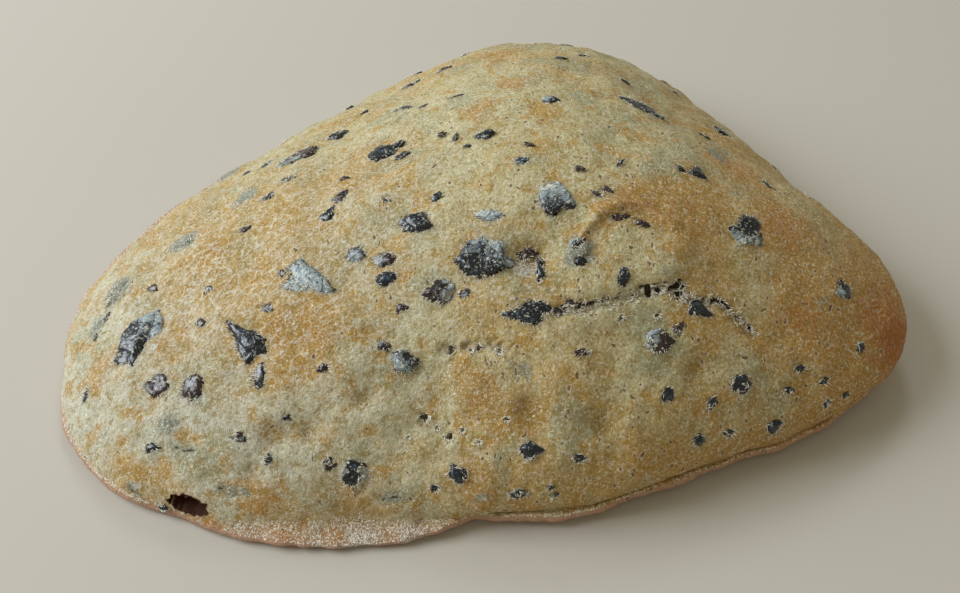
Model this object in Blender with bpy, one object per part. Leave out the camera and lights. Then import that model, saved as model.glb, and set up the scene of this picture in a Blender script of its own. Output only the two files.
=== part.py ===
"""A rustic olive bread: one hand-cut, three-cornered loaf with pieces of black olive in its crust.

The loaf stands on its flat base at Z = 0, with its length along X and its wide front towards -Y.
Its form is a dome round a centre. A plan outline gives its reach, a low base with swells gives its
height, and a side profile goes from slack, at the left, to upright, at the front right.
"""

import math
import random

import bmesh
import bpy
import numpy as np
from mathutils import Matrix, Vector, noise
from mathutils.bvhtree import BVHTree

MM = 0.001

# Driving dimensions, in metres
LOAF_LENGTH = 0.250
LOAF_WIDTH = 0.206
LOAF_HEIGHT = 0.061

# Everything below is in millimetres, until the finished solids are brought to metres.
LIP_THICKNESS = 2.2
LIP_ROOT, LIP_ROUNDING = 1.2, 0.6
SEATING_GAP = 0.35

# The plan, corner by corner: x and y where the dome is widest, how far the bottom crust's lip stands
# out past it (below zero, the dome hangs over the lip), how far above the lip the dome is widest, the
# lift of the lip off the table, and the side's fullness, from 1, slack, to 2, upright.
PLAN = (
    (-123, -31, 1.5, 1.0, 1.0, 1.5),
    (-119, -54, 1.5, 1.0, 1.0, 1.5),
    (-104, -79, 1.5, 0.6, 1.5, 1.5),
    (-77, -94, 1.8, 0.5, 1.0, 1.45),
    (-42, -97, 7.0, 0.3, 1.0, 1.45),
    (-16, -96, 5.0, 0.6, 1.0, 1.6),
    (-6, -96, 1.0, 1.5, 2.0, 1.7),
    (8, -95, 0.5, 2.5, 2.5, 1.9),
    (21, -94, 1.5, 3.0, 2.5, 2.0),
    (38, -91, -0.5, 3.5, 3.0, 2.0),
    (56, -83, 0.0, 4.0, 3.0, 2.1),
    (84, -73, -0.5, 5.0, 3.0, 2.0),
    (107, -60, -1.0, 6.0, 2.5, 1.9),
    (122, -42, -2.5, 8.0, 2.0, 1.9),
    (122, -17, -4.0, 9.0, 2.0, 1.9),
    (104, 13, -4.0, 9.0, 2.5, 1.9),
    (84, 49, -3.0, 9.0, 2.5, 1.9),
    (54, 88, -2.0, 8.0, 2.0, 1.9),
    (20, 103, -1.0, 7.0, 2.0, 1.9),
    (-16, 92, 0.0, 5.0, 1.5, 1.7),
    (-56, 63, 1.5, 3.0, 1.5, 1.5),
    (-80, 43, 7.0, 1.0, 1.0, 1.45),
    (-103, 16, 7.0, 1.0, 1.0, 1.5),
)
CENTRE = (5, -15)
CURVE_POWER = 2.35

# The dough under the crust: a low base with swells on it (x, y, radius, rise)
BASE_HEIGHT = 37
SWELLS = (
    (24, -10, 64, 21),
    (20, 56, 46, 6),
    (92, -26, 32, 6),
    (-62, -34, 36, 3),
    (48, -42, 26, 3),
)

# Broad swells of the crust, and the dimples in it below zero (x, y, radius, rise)
FORMS = (
    (-79, -27, 9, 1.8),
    (-98, -58, 12, 1.2),
    (-52, -20, 14, 1.4),
    (-40, -62, 13, 1.2),
    (85, -26, 13, 1.5),
    (60, -8, 16, 1.4),
    (8, -22, 12, 1.2),
    (-24, 12, 14, 1.2),
    (36, 52, 18, 1.6),
    (-4, 62, 16, 1.2),
    (-53, -82, 4.0, -1.8),
    (-44, -82, 3.4, -1.6),
    (-30, -75, 3.4, -1.4),
    (-10, -71, 3.2, -0.8),
    (-11, -76, 3.0, -0.8),
    (12, -81, 4.6, -2.0),
    (31, -83, 3.8, -1.6),
    (55, -69, 3.2, -1.3),
    (-68, -89, 3.2, -1.0),
    (-58, -89, 3.2, -1.0),
    (12, -47, 6.0, -2.4),
)

# Lines in the crust, as plan places, half width and rise: torn seams sink, and folds stand up.
LINES = (
    (((20, -60), (27, -59), (34, -57), (41, -55), (51, -52)), 1.6, -1.5),
    (((22, -56), (32, -53), (41, -51), (52, -48)), 3.0, 0.4),
    (((50, -54), (56, -55), (62, -54), (71, -59)), 1.5, -1.2),
    (((-9, -66), (-2, -66), (6, -67)), 1.5, -0.6),
    (((-15, -80), (-8, -84)), 1.5, -0.6),
    (((26, -42), (31, -36), (37, -33), (43, -33), (50, -37)), 1.6, 1.0),
    (((29, -41), (35, -37), (42, -37), (48, -40)), 2.2, -0.5),
)

# The fine unevenness of hand-shaped dough, and of the bottom crust's rim
LUMP_SPACING, LUMP_RISE = 24, 1.0
RIM_SPACING, RIM_WANDER = 12, 1.3
LUMP_SEED, RIM_SEED = 11.5, 3.5

# The burst bubble over the lip at the front left: middle of the hollow, size and turn in degrees
BUBBLE_MIDDLE, BUBBLE_SIZE, BUBBLE_TURN, BUBBLE_SEED = (-75, -91, 5.2), (12, 13, 4.0), -18, 4

# Olive pieces as large as a berry, each a piece of its own: name, x, y, length, width, turn in degrees
# and corners, with none where it is round
OLIVES = (
    ("olive_left_half", -93, -51, 18, 12, 60, 5),
    ("olive_left_shard", -61, -60, 14, 8, 133, 3),
    ("olive_left_brown", -85, -67, 10, 8, 160, 4),
    ("olive_left_slab", -47, -45, 14, 10, -30, 3),
    ("olive_back_left", -56, 16, 14, 10, 25, 4),
    ("olive_back_black", -29, 0, 9, 9, 40, 5),
    ("olive_middle_black", -17, -34, 12, 9, -20, 4),
    ("olive_middle_rough", 0, -46, 15, 12, -30, 5),
    ("olive_middle_purple", -11, -53, 10, 8, 10, 4),
    ("olive_seam_black", 13, -60, 15, 8, 5, 4),
    ("olive_crown_grey", 19, -32, 10, 10, 0, 0),
    ("olive_back_right", 47, 15, 19, 8, -15, 4),
    ("olive_right_star", 71, -34, 10, 9, 30, 5),
    ("olive_front_star", -32, -90, 9, 9, 60, 5),
)
BROWN_OLIVES = ("olive_left_brown", "olive_middle_purple", "olive_back_left")
OLIVE_THICKNESS, OLIVE_SUNK = 0.5, 0.3

# Smaller olive pieces in the crust, the ones that show most: x, y, length, width, turn and corners
FLECKS = (
    (-75, -69, 8, 6, 80, 0),
    (-25, -48, 7, 5, 10, 4),
    (2, -35, 10, 4, -10, 4),
    (1, -6, 6, 5, 0, 4),
    (98, -42, 6, 5, 30, 5),
    (12, -88, 7, 5, 10, 4),
    (45, -64, 8, 5, -15, 4),
    (67, -70, 6, 5, 0, 5),
    (77, -75, 5, 4, 70, 3),
    (-20, -68, 7, 6, 0, 5),
    (-25, 26, 7, 4, 20, 4),
    (-46, 25, 7, 5, 10, 4),
    (77, 28, 8, 4, -40, 4),
    (25, -46, 7, 5, 40, 0),
    (-105, -30, 11, 6, 70, 0),
    (-87, -17, 10, 6, 30, 0),
    (56, -56, 6, 5, -20, 3),
    (36, -52, 5, 3, 75, 5),
    (56, -81, 5, 4, 0, 4),
    (9, -94, 6, 3, 10, 4),
    (-24, 52, 7, 4, 20, 4),
    (-12, 52, 7, 4, 20, 4),
    (-5, 77, 6, 4, 60, 4),
    (-57, -69, 6, 3, 80, 5),
    (-33, -40, 6, 5, -30, 3),
    (-75, -52, 4, 3, -60, 0),
    (-39, -19, 5, 4, 50, 3),
    (-57, -1, 5, 4, 10, 5),
    (-42, -25, 5, 4, 60, 3),
    (-25, -43, 7, 4, 10, 5),
    (-6, -91, 5, 4, -40, 5),
    (47, -75, 5, 4, 45, 4),
    (20, 10, 6, 4, -20, 4),
    (-67, 16, 6, 4, 30, 4),
    (-82, 25, 9, 6, 30, 0),
    (59, -18, 5, 4, -30, 3),
)
# Those on the flank that faces away are scattered over it: how many, how far apart, their sizes, and
# the stretch of it that they lie on, as shares of a half turn and of the way out to the rim
SCATTERED, SCATTER_APART, SCATTER_SIZES, SCATTER_SEED = 12, 15, (4.5, 7.0), 8
SCATTER_TURN, SCATTER_OUT = (0.0, 0.85), (0.86, 0.97)
FLECK_THICKNESS, FLECK_SUNK = 0.5, 0.25
FLECK_SLIMNESS = (0.6, 0.85)
FLECK_CORNERS = (3, 4, 5)

# How uneven the olive pieces are: share of their size, and bumps across half of it
OLIVE_UNEVEN, FLECK_UNEVEN, BUBBLE_UNEVEN, BUMPS = 0.35, 0.4, 0.3, 1.4
SHAPE_STEP = 7.3
# How chopped they look: the roundness left between corners, and the steepness of their sides
ROUNDNESS, STEEPNESS, LEAST_ACROSS = 0.2, 0.6, 0.2

# The mesh: cells across the dome, and how much finer and softer its relief is drawn
GRID_CELLS = 50
FINE_MARGIN = 3.0
SAMPLES_ALONG = 40
SOFTENING_PASSES = 3
RELIEF_FADE = 0.9
SLACK_BEND, UPRIGHT_BEND = 0.55, 0.95
FOOT_INSET, FOOT_PER_LIFT = 5.0, 2.0


def around(column):
    """A smooth closed curve through one column of the plan, as a function of the angle at the centre."""
    rows = np.array(PLAN, float)
    across = rows[:, :2] - CENTRE
    angles = np.arctan2(across[:, 1], across[:, 0])
    values = np.hypot(*across.T) if column == "reach" else rows[:, column]
    order = np.argsort(angles)
    turn = 2 * math.pi
    angles = np.concatenate([angles[order] + k * turn for k in (-1, 0, 1)])
    values = np.tile(values[order], 3)
    slopes = np.gradient(values, angles)

    def curve(angle):
        i = np.clip(np.searchsorted(angles, angle) - 1, 0, len(angles) - 2)
        span = angles[i + 1] - angles[i]
        t = (angle - angles[i]) / span
        start = (1 + 2 * t) * (1 - t) ** 2 * values[i] + t * (1 - t) ** 2 * span * slopes[i]
        end = t * t * (3 - 2 * t) * values[i + 1] + t * t * (t - 1) * span * slopes[i + 1]
        return start + end

    return curve


reach = around("reach")
lip, belly, lift, fullness = (around(column) for column in (2, 3, 4, 5))


def wander(angle):
    """Smooth unevenness along the rim, from -1 to 1, that joins up after a full turn."""
    scale = LOAF_LENGTH / MM / 2 / RIM_SPACING
    points = zip(np.cos(angle) * scale, np.sin(angle) * scale)
    return np.array([noise.noise(Vector((x, y, RIM_SEED))) for x, y in points])


def dough_height(x, y):
    """Height of the dough under a place, before its side rolls down."""
    height = np.full_like(x, BASE_HEIGHT)
    for sx, sy, radius, rise in SWELLS:
        height += rise * np.exp(-((x - sx) ** 2 + (y - sy) ** 2) / radius**2)
    return height


def rim(angle):
    """Radii of the dome and of the lip, and heights of the widest place and the lip's top."""
    lip_top = lift(angle) + LIP_THICKNESS
    dome_radius = reach(angle)
    lip_radius = dome_radius + lip(angle) + RIM_WANDER * wander(angle)
    return dome_radius, lip_radius, lip_top + belly(angle), lip_top


def dome(angle, out):
    """Points of the smooth dome at angles round the centre, out from 0, the crown, to 1, the rim."""
    radius, _, rim_height, _ = rim(angle)
    x = CENTRE[0] + np.cos(angle) * out * radius
    y = CENTRE[1] + np.sin(angle) * out * radius
    fall = (1 - np.minimum(out, 1) ** CURVE_POWER) ** (1 / fullness(angle))
    z = rim_height + (dough_height(x, y) - rim_height) * fall
    return np.stack((x, y, z), axis=1)


def on_dome(places):
    """The points of the dome above plan places."""
    across = np.array(places, float) - CENTRE
    angle = np.arctan2(across[:, 1], across[:, 0])
    return dome(angle, np.hypot(*across.T) / rim(angle)[0])


def along(places):
    """Many points of the dome on a smooth line through plan places."""
    places = np.array(places, float)
    steps = np.concatenate(([0], np.cumsum(np.hypot(*np.diff(places, axis=0).T))))
    even = np.linspace(0, steps[-1], SAMPLES_ALONG)
    line = np.stack([np.interp(even, steps, places[:, k]) for k in (0, 1)], axis=1)
    for _ in range(SOFTENING_PASSES):
        line[1:-1] = (line[:-2] + line[1:-1] * 2 + line[2:]) / 4
    return on_dome(line)


def distance(points, targets):
    """How far each point is from the nearest target."""
    return np.linalg.norm(points[:, None, :] - targets[None, :, :], axis=2).min(axis=1)


def disc(u, v):
    """Angle and radius on a disc for places on a square from -1 to 1, with even cells."""
    wide = np.abs(u) > np.abs(v)
    main = np.where(wide, u, v)
    other = np.where(wide, v, u)
    share = np.divide(other, main, out=np.zeros_like(main), where=main != 0) * math.pi / 4
    turn = np.where(wide, share, math.pi / 2 - share)
    return np.arctan2(main * np.sin(turn), main * np.cos(turn)), np.abs(main)


def spread(angle, radius):
    """How far out on the dome a disc radius lies: closer steps near an upright side."""
    bend = (SLACK_BEND + (UPRIGHT_BEND - SLACK_BEND) * (fullness(angle) - 1)) * math.pi / 2
    return np.sin(bend * radius) / np.sin(bend)


def relief(points, out):
    """How far the crust stands out of the smooth dome, or sinks into it."""
    rise = np.array([noise.noise(Vector(p) / LUMP_SPACING + Vector((0, 0, LUMP_SEED))) for p in points])
    rise *= LUMP_RISE
    for x, y, radius, height in FORMS:
        gap = np.linalg.norm(points - on_dome([(x, y)]), axis=1)
        rise += height * np.exp(-((gap / radius) ** 2))
    for places, half_width, height in LINES:
        gap = distance(points, along(places))
        rise += height * np.exp(-((gap / half_width) ** 2))
    return rise * np.clip((1 - out) / (1 - RELIEF_FADE), 0, 1)


def coordinates(verts):
    return np.array([v.co[:] for v in verts])


def place(verts, points):
    for vert, point in zip(verts, points):
        vert.co = point


def near_relief(points):
    """True where the crust's relief is too fine for the plain grid."""
    fine = np.zeros(len(points), bool)
    for x, y, radius, height in FORMS:
        if height < 0:
            fine |= np.linalg.norm(points - on_dome([(x, y)]), axis=1) < radius + FINE_MARGIN
    for places, half_width, _ in LINES:
        fine |= distance(points, along(places)) < half_width + FINE_MARGIN
    return fine


def top_of_loaf(bm):
    """The domed crust, from a grid that is rounded to a disc, with finer cells where relief is fine."""
    bmesh.ops.create_grid(bm, x_segments=GRID_CELLS, y_segments=GRID_CELLS, size=1)
    flat = coordinates(bm.verts)
    angle, radius = disc(flat[:, 0], flat[:, 1])
    fine = near_relief(dome(angle, spread(angle, radius)))
    bm.verts.index_update()
    edges = [e for e in bm.edges if all(fine[v.index] for v in e.verts)]
    bmesh.ops.subdivide_edges(bm, edges=edges, cuts=1, use_grid_fill=True)
    flat = coordinates(bm.verts)
    angle, radius = disc(flat[:, 0], flat[:, 1])
    out = spread(angle, radius)
    points = dome(angle, out)
    place(bm.verts, points)
    bm.normal_update()
    normals = np.array([v.normal[:] for v in bm.verts])
    place(bm.verts, points + normals * relief(points, out)[:, None])


def underside(bm):
    """The crust's lip all round and the flat base, grown from the dome's open edge."""
    rim_edges = [e for e in bm.edges if e.is_boundary]
    for step in ("root", "edge", "under", "foot"):
        grown = bmesh.ops.extrude_edge_only(bm, edges=rim_edges)["geom"]
        verts = [g for g in grown if isinstance(g, bmesh.types.BMVert)]
        rim_edges = [g for g in grown if isinstance(g, bmesh.types.BMEdge) and g.is_boundary]
        across = coordinates(verts)[:, :2] - CENTRE
        angle = np.arctan2(across[:, 1], across[:, 0])
        dome_radius, lip_radius, _, lip_top = rim(angle)
        radius, height = {
            "root": (np.minimum(dome_radius, lip_radius - LIP_ROOT) - LIP_ROUNDING, lip_top),
            "edge": (lip_radius, lip_top - LIP_ROUNDING),
            "under": (lip_radius - LIP_ROUNDING, lip_top - LIP_THICKNESS),
            "foot": (lip_radius - FOOT_INSET - FOOT_PER_LIFT * lift(angle), np.zeros_like(angle)),
        }[step]
        ring = (CENTRE[0] + np.cos(angle) * radius, CENTRE[1] + np.sin(angle) * radius, height)
        place(verts, np.stack(ring, axis=1))
    bmesh.ops.edgeloop_fill(bm, edges=rim_edges)
    bmesh.ops.recalc_face_normals(bm, faces=bm.faces)
    bmesh.ops.triangulate(bm, faces=bm.faces)


def material(name, colour, roughness):
    made = bpy.data.materials.new(name)
    made.use_nodes = True
    shader = made.node_tree.nodes["Principled BSDF"]
    shader.inputs["Base Color"].default_value = (*colour, 1)
    shader.inputs["Roughness"].default_value = roughness
    made.diffuse_color = (*colour, 1)
    return made


def add_object(name, bm, finish, collection):
    mesh = bpy.data.meshes.new(name)
    bm.to_mesh(mesh)
    bm.free()
    made = bpy.data.objects.new(name, mesh)
    collection.objects.link(made)
    made.data.materials.append(finish)
    return made


def corner_reach(angle, corners):
    """How far a chopped piece reaches at an angle, with a corner at 0; all round the same with none."""
    if not corners:
        return 1
    sector = 2 * math.pi / corners
    straight = math.cos(sector / 2) / math.cos(angle % sector - sector / 2)
    full_length = 2 / (1 + math.cos(sector / 2)) if corners % 2 else 1
    return full_length * (ROUNDNESS + (1 - ROUNDNESS) * straight)


def lump(detail, size, uneven, seed, margin=0, corners=0):
    """An uneven lump of a size at the origin, with a margin all round where it is to be a cutter."""
    bm = bmesh.new()
    bmesh.ops.create_icosphere(bm, subdivisions=detail, radius=1)
    for vert in bm.verts:
        swell = 1 + uneven * noise.noise(vert.co * BUMPS + Vector((seed * SHAPE_STEP, 0, 0)))
        across = max(math.hypot(vert.co.x, vert.co.y), LEAST_ACROSS)
        wide = corner_reach(math.atan2(vert.co.y, vert.co.x), corners) * across ** (STEEPNESS - 1)
        stretch = (wide, wide, 1)
        vert.co = Vector(vert.co[k] * size[k] / 2 * swell * stretch[k] for k in range(3))
    bm.normal_update()
    for vert in bm.verts:
        vert.co += vert.normal * margin
    return bm


def seat(crust, x, y, turn, depth):
    """Where a piece lies: sunk by a depth into the crust, flat to it and turned about its normal."""
    point, normal, _, _ = crust.find_nearest(Vector(on_dome([(x, y)])[0]))
    heading = Vector((math.cos(math.radians(turn)), math.sin(math.radians(turn)), 0))
    side = normal.cross(heading).normalized()
    forward = side.cross(normal)
    frame = Matrix((forward, side, normal)).transposed().to_4x4()
    return Matrix.Translation(point - normal * depth) @ frame


def combine(target, pieces, operation):
    """Join a collection to an object, or cut it out, in one Boolean, and remove the collection."""
    boolean = target.modifiers.new(operation.title(), "BOOLEAN")
    boolean.operation = operation
    boolean.operand_type = "COLLECTION"
    boolean.collection = pieces
    boolean.solver = "EXACT"
    graph = bpy.context.evaluated_depsgraph_get()
    mesh = bpy.data.meshes.new_from_object(target.evaluated_get(graph))
    target.modifiers.clear()
    target.data = mesh
    for piece in list(pieces.objects):
        bpy.data.objects.remove(piece, do_unlink=True)
    bpy.data.collections.remove(pieces)


def new_collection(name):
    made = bpy.data.collections.new(name)
    bpy.context.scene.collection.children.link(made)
    return made


def make_loaf(finish):
    """The loaf itself, with its small olive pieces joined on."""
    bm = bmesh.new()
    top_of_loaf(bm)
    underside(bm)
    return add_object("loaf", bm, finish, bpy.context.collection)


def crust_of(loaf):
    bm = bmesh.new()
    bm.from_mesh(loaf.data)
    return BVHTree.FromBMesh(bm)


def scattered_flecks():
    """Places, sizes and shapes of the small pieces on the flank that faces away, clear of the others."""
    draw = random.Random(SCATTER_SEED)
    taken = [row[1:3] for row in OLIVES] + [row[:2] for row in FLECKS]
    flecks = []
    while len(flecks) < SCATTERED:
        angle = draw.uniform(*SCATTER_TURN) * math.pi
        out = draw.uniform(*SCATTER_OUT)
        x, y, _ = dome(np.array([angle]), np.array([out]))[0]
        length = draw.uniform(*SCATTER_SIZES)
        width = length * draw.uniform(*FLECK_SLIMNESS)
        turn = draw.uniform(0, 180)
        corners = draw.choice(FLECK_CORNERS)
        if min(math.dist((x, y), other) for other in taken) > SCATTER_APART:
            taken.append((x, y))
            flecks.append((x, y, length, width, turn, corners))
    return flecks


def add_flecks(loaf, crust, finish):
    """The small olive pieces, fused to the crust."""
    flecks = new_collection("flecks")
    for i, (x, y, length, width, turn, corners) in enumerate((*FLECKS, *scattered_flecks())):
        thickness = FLECK_THICKNESS * width
        bm = lump(1, (length, width, thickness), FLECK_UNEVEN, i, corners=corners)
        bm.transform(seat(crust, x, y, turn, FLECK_SUNK * thickness))
        add_object(f"fleck_{i}", bm, finish, flecks)
    combine(loaf, flecks, "UNION")


def add_olives(loaf, crust, finishes):
    """The large olive pieces as pieces of their own, and the pockets in the crust that hold them."""
    pockets = new_collection("pockets")
    olives = []
    for i, (name, x, y, length, width, turn, corners) in enumerate(OLIVES):
        thickness = OLIVE_THICKNESS * width
        lies = seat(crust, x, y, turn, OLIVE_SUNK * thickness)
        for margin, owner in ((0, bpy.context.collection), (SEATING_GAP, pockets)):
            bm = lump(2, (length, width, thickness), OLIVE_UNEVEN, i + 0.5, margin, corners)
            bm.transform(lies)
            made = add_object(name, bm, finishes[name in BROWN_OLIVES], owner)
            if not margin:
                olives.append(made)
    bm = lump(2, BUBBLE_SIZE, BUBBLE_UNEVEN, BUBBLE_SEED)
    turned = Matrix.Rotation(math.radians(BUBBLE_TURN), 4, "Z")
    bm.transform(Matrix.Translation(BUBBLE_MIDDLE) @ turned)
    add_object("bubble", bm, finishes[0], pockets)
    combine(loaf, pockets, "DIFFERENCE")
    return olives


def bring_to_size(loaf, olives):
    """Centre everything over the base, bring the loaf to its driving dimensions, in metres."""
    points = coordinates(loaf.data.vertices)
    low, high = points.min(axis=0), points.max(axis=0)
    scale = np.array((LOAF_LENGTH, LOAF_WIDTH, LOAF_HEIGHT)) / (high - low)
    middle = Vector(((low[0] + high[0]) / 2, (low[1] + high[1]) / 2, low[2]))
    for made in (loaf, *olives):
        made.data.transform(Matrix.Diagonal((*scale, 1)) @ Matrix.Translation(-middle))


def main():
    for old in list(bpy.data.objects):
        bpy.data.objects.remove(old, do_unlink=True)
    crust_finish = material("baked_crust", (0.48, 0.37, 0.20), 0.75)
    black_olive = material("black_olive", (0.020, 0.022, 0.028), 0.35)
    brown_olive = material("brown_olive", (0.065, 0.035, 0.030), 0.40)
    loaf = make_loaf(crust_finish)
    crust = crust_of(loaf)
    add_flecks(loaf, crust, crust_finish)
    olives = add_olives(loaf, crust, (black_olive, brown_olive))
    bring_to_size(loaf, olives)


main()
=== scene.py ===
"""The looks of a rustic olive bread: its baked crust, the olive pieces in it, torn crumb and flour.

The crust repeats the form of the loaf's solid, far finer, and the olive pieces grow out of their own
solids. Sizes are millimetres unless a name says otherwise, and everything is brought to metres when a
piece is finished. Where a place was read off the photograph it is a pixel of a 960 x 593 picture, and
the line of sight through that pixel is followed down to the crust.
"""

import functools
import math
import random
from collections import namedtuple

import bmesh
import bpy
import numpy as np
from bpy.props import FloatProperty, FloatVectorProperty, IntProperty, PointerProperty
from bpy.types import Operator, Panel, PropertyGroup
from mathutils import Matrix, Vector, noise
from mathutils.bvhtree import BVHTree


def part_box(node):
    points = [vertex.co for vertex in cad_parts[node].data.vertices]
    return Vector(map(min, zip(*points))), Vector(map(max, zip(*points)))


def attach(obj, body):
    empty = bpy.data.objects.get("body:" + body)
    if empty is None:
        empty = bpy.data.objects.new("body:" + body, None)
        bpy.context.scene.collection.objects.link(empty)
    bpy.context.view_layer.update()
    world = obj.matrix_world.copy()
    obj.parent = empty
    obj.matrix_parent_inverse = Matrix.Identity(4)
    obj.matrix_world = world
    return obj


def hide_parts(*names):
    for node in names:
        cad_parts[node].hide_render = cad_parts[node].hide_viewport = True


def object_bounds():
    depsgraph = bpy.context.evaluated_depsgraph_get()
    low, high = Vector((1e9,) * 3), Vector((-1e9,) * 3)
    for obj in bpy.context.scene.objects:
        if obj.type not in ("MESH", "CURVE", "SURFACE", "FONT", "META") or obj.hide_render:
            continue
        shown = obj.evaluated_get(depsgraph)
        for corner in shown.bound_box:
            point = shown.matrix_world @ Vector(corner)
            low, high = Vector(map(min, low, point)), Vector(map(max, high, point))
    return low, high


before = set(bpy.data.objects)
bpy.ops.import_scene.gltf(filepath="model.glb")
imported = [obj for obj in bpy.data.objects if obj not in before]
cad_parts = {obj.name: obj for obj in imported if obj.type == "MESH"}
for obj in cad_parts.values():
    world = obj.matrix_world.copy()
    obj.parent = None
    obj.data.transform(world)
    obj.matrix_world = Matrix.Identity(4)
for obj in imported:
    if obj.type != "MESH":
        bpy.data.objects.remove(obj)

bl_info = {
    "name": "Olive Bread",
    "version": (1, 0, 0),
    "blender": (4, 5, 0),
    "location": "3D View > Sidebar > Olive Bread",
    "description": "Dresses the loaf's solids as a baked olive bread",
    "category": "Object",
}

CAD_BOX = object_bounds()
MM = 0.001

# The loaf's form, as in its solid: x and y where the dome is widest, how far the lip stands out past
# it, how far above the lip the dome is widest, the lift of the lip, and the side's fullness.
PLAN = (
    (-123, -31, 1.5, 1.0, 1.0, 1.5),
    (-119, -54, 1.5, 1.0, 1.0, 1.5),
    (-104, -79, 1.5, 0.6, 1.5, 1.5),
    (-77, -94, 1.8, 0.5, 1.0, 1.45),
    (-42, -97, 7.0, 0.3, 1.0, 1.45),
    (-16, -96, 5.0, 0.6, 1.0, 1.6),
    (-6, -96, 1.0, 1.5, 2.0, 1.7),
    (8, -95, 0.5, 2.5, 2.5, 1.9),
    (21, -94, 1.5, 3.0, 2.5, 2.0),
    (38, -91, -0.5, 3.5, 3.0, 2.0),
    (56, -83, 0.0, 4.0, 3.0, 2.1),
    (84, -73, -0.5, 5.0, 3.0, 2.0),
    (107, -60, -1.0, 6.0, 2.5, 1.9),
    (122, -42, -2.5, 8.0, 2.0, 1.9),
    (122, -17, -4.0, 9.0, 2.0, 1.9),
    (104, 13, -4.0, 9.0, 2.5, 1.9),
    (84, 49, -3.0, 9.0, 2.5, 1.9),
    (54, 88, -2.0, 8.0, 2.0, 1.9),
    (20, 103, -1.0, 7.0, 2.0, 1.9),
    (-16, 92, 0.0, 5.0, 1.5, 1.7),
    (-56, 63, 1.5, 3.0, 1.5, 1.5),
    (-80, 43, 7.0, 1.0, 1.0, 1.45),
    (-103, 16, 7.0, 1.0, 1.0, 1.5),
)
CENTRE = (5, -15)
CURVE_POWER = 2.35
LIP_THICKNESS = 2.2
LIP_ROOT, LIP_ROUNDING = 1.2, 0.6
FOOT_INSET, FOOT_PER_LIFT = 5.0, 2.0
BASE_HEIGHT = 37
# Swells of the whole dough (x, y, radius, rise)
SWELLS = (
    (24, -10, 64, 21),
    (20, 56, 46, 6),
    (92, -26, 32, 6),
    (-62, -34, 36, 3),
    (48, -42, 26, 3),
)
# Broad swells and dimples of the crust (x, y, radius, rise)
FORMS = (
    (-79, -27, 9, 1.8),
    (-98, -58, 12, 1.2),
    (-52, -20, 14, 1.4),
    (-40, -62, 13, 1.2),
    (85, -26, 13, 1.5),
    (60, -8, 16, 1.4),
    (8, -22, 12, 1.2),
    (-24, 12, 14, 1.2),
    (36, 52, 18, 1.6),
    (-4, 62, 16, 1.2),
    (-53, -82, 4.0, -1.8),
    (-44, -82, 3.4, -1.6),
    (-30, -75, 3.4, -1.4),
    (-10, -71, 3.2, -0.8),
    (-11, -76, 3.0, -0.8),
    (12, -81, 4.6, -2.0),
    (31, -83, 3.8, -1.6),
    (55, -69, 3.2, -1.3),
    (-68, -89, 3.2, -1.0),
    (-58, -89, 3.2, -1.0),
    (12, -47, 6.0, -2.4),
)
# Torn seams, which sink, and folds, which stand up (places, half width, rise)
LINES = (
    (((20, -60), (27, -59), (34, -57), (41, -55), (51, -52)), 1.6, -1.5),
    (((22, -56), (32, -53), (41, -51), (52, -48)), 3.0, 0.4),
    (((50, -54), (56, -55), (62, -54), (71, -59)), 1.5, -1.2),
    (((-9, -66), (-2, -66), (6, -67)), 1.5, -0.6),
    (((-15, -80), (-8, -84)), 1.5, -0.6),
    (((26, -42), (31, -36), (37, -33), (43, -33), (50, -37)), 1.6, 1.0),
    (((29, -41), (35, -37), (42, -37), (48, -40)), 2.2, -0.5),
)
LUMP_SPACING, LUMP_RISE = 24, 1.0
RIM_SPACING, RIM_WANDER = 12, 1.3
LUMP_SEED, RIM_SEED = 11.5, 3.5
RELIEF_FADE = 0.9
SLACK_BEND, UPRIGHT_BEND = 0.55, 0.95
SAMPLES_ALONG, SOFTENING_PASSES = 40, 3
SAMPLES_ROUND, CROWN_SAMPLES, CROWN_SHARE = 720, 60, 0.6
BUBBLE_MIDDLE, BUBBLE_SIZE, BUBBLE_TURN = (-75, -91, 5.2), (12, 13, 4.0), -18
# The burst bubble's inside and a rim line round it get their own brown, deepened with painted shade
BUBBLE_GAPES, BUBBLE_RIM, BUBBLE_RAGGED = 1.6, 0.2, 0.25
BUBBLE_INWARD, BUBBLE_SEARCH, BUBBLE_FACING = (0.1, 0.97, 0.1), 1.3, 0.2

# The large olive pieces: x, y, length, width, turn in degrees, corners, then their looks: the dough over
# the edge, which is drawn back where it is below 0, the share of the piece that a grey film covers, and
# the side that the film comes from, in degrees.
OLIVES = {
    "olive_left_half": (-93, -51, 18, 12, 60, 5, -0.15, 0.42, 60),
    "olive_left_shard": (-61, -60, 14, 8, 133, 3, -0.25, -0.15, 90),
    "olive_left_brown": (-85, -67, 10, 8, 160, 4, 0.1, 0.08, 180),
    "olive_left_slab": (-47, -45, 14, 10, -30, 3, 0.0, 0.68, 240),
    "olive_back_left": (-56, 16, 14, 10, 25, 4, 0.1, 0.35, 270),
    "olive_back_black": (-29, 0, 9, 9, 40, 5, 0.1, 0.10, 0),
    "olive_middle_black": (-17, -34, 12, 9, -20, 4, 0.0, 0.15, 120),
    "olive_middle_rough": (0, -46, 15, 12, -30, 5, 0.2, 0.45, 60),
    "olive_middle_purple": (-11, -53, 10, 8, 10, 4, 0.1, 0.35, 0),
    "olive_seam_black": (13, -60, 15, 8, 5, 4, 0.1, 0.15, 270),
    "olive_crown_grey": (19, -32, 10, 10, 0, 0, 0.4, 0.65, 90),
    "olive_back_right": (47, 15, 19, 8, -15, 4, 0.1, 0.28, 250),
    "olive_right_star": (71, -34, 10, 9, 30, 5, 0.4, 0.35, 270),
    "olive_front_star": (-32, -90, 9, 9, 60, 5, 0.3, 0.25, 90),
}
BROWN_OLIVES = ("olive_left_brown", "olive_middle_purple", "olive_back_left")
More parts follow.
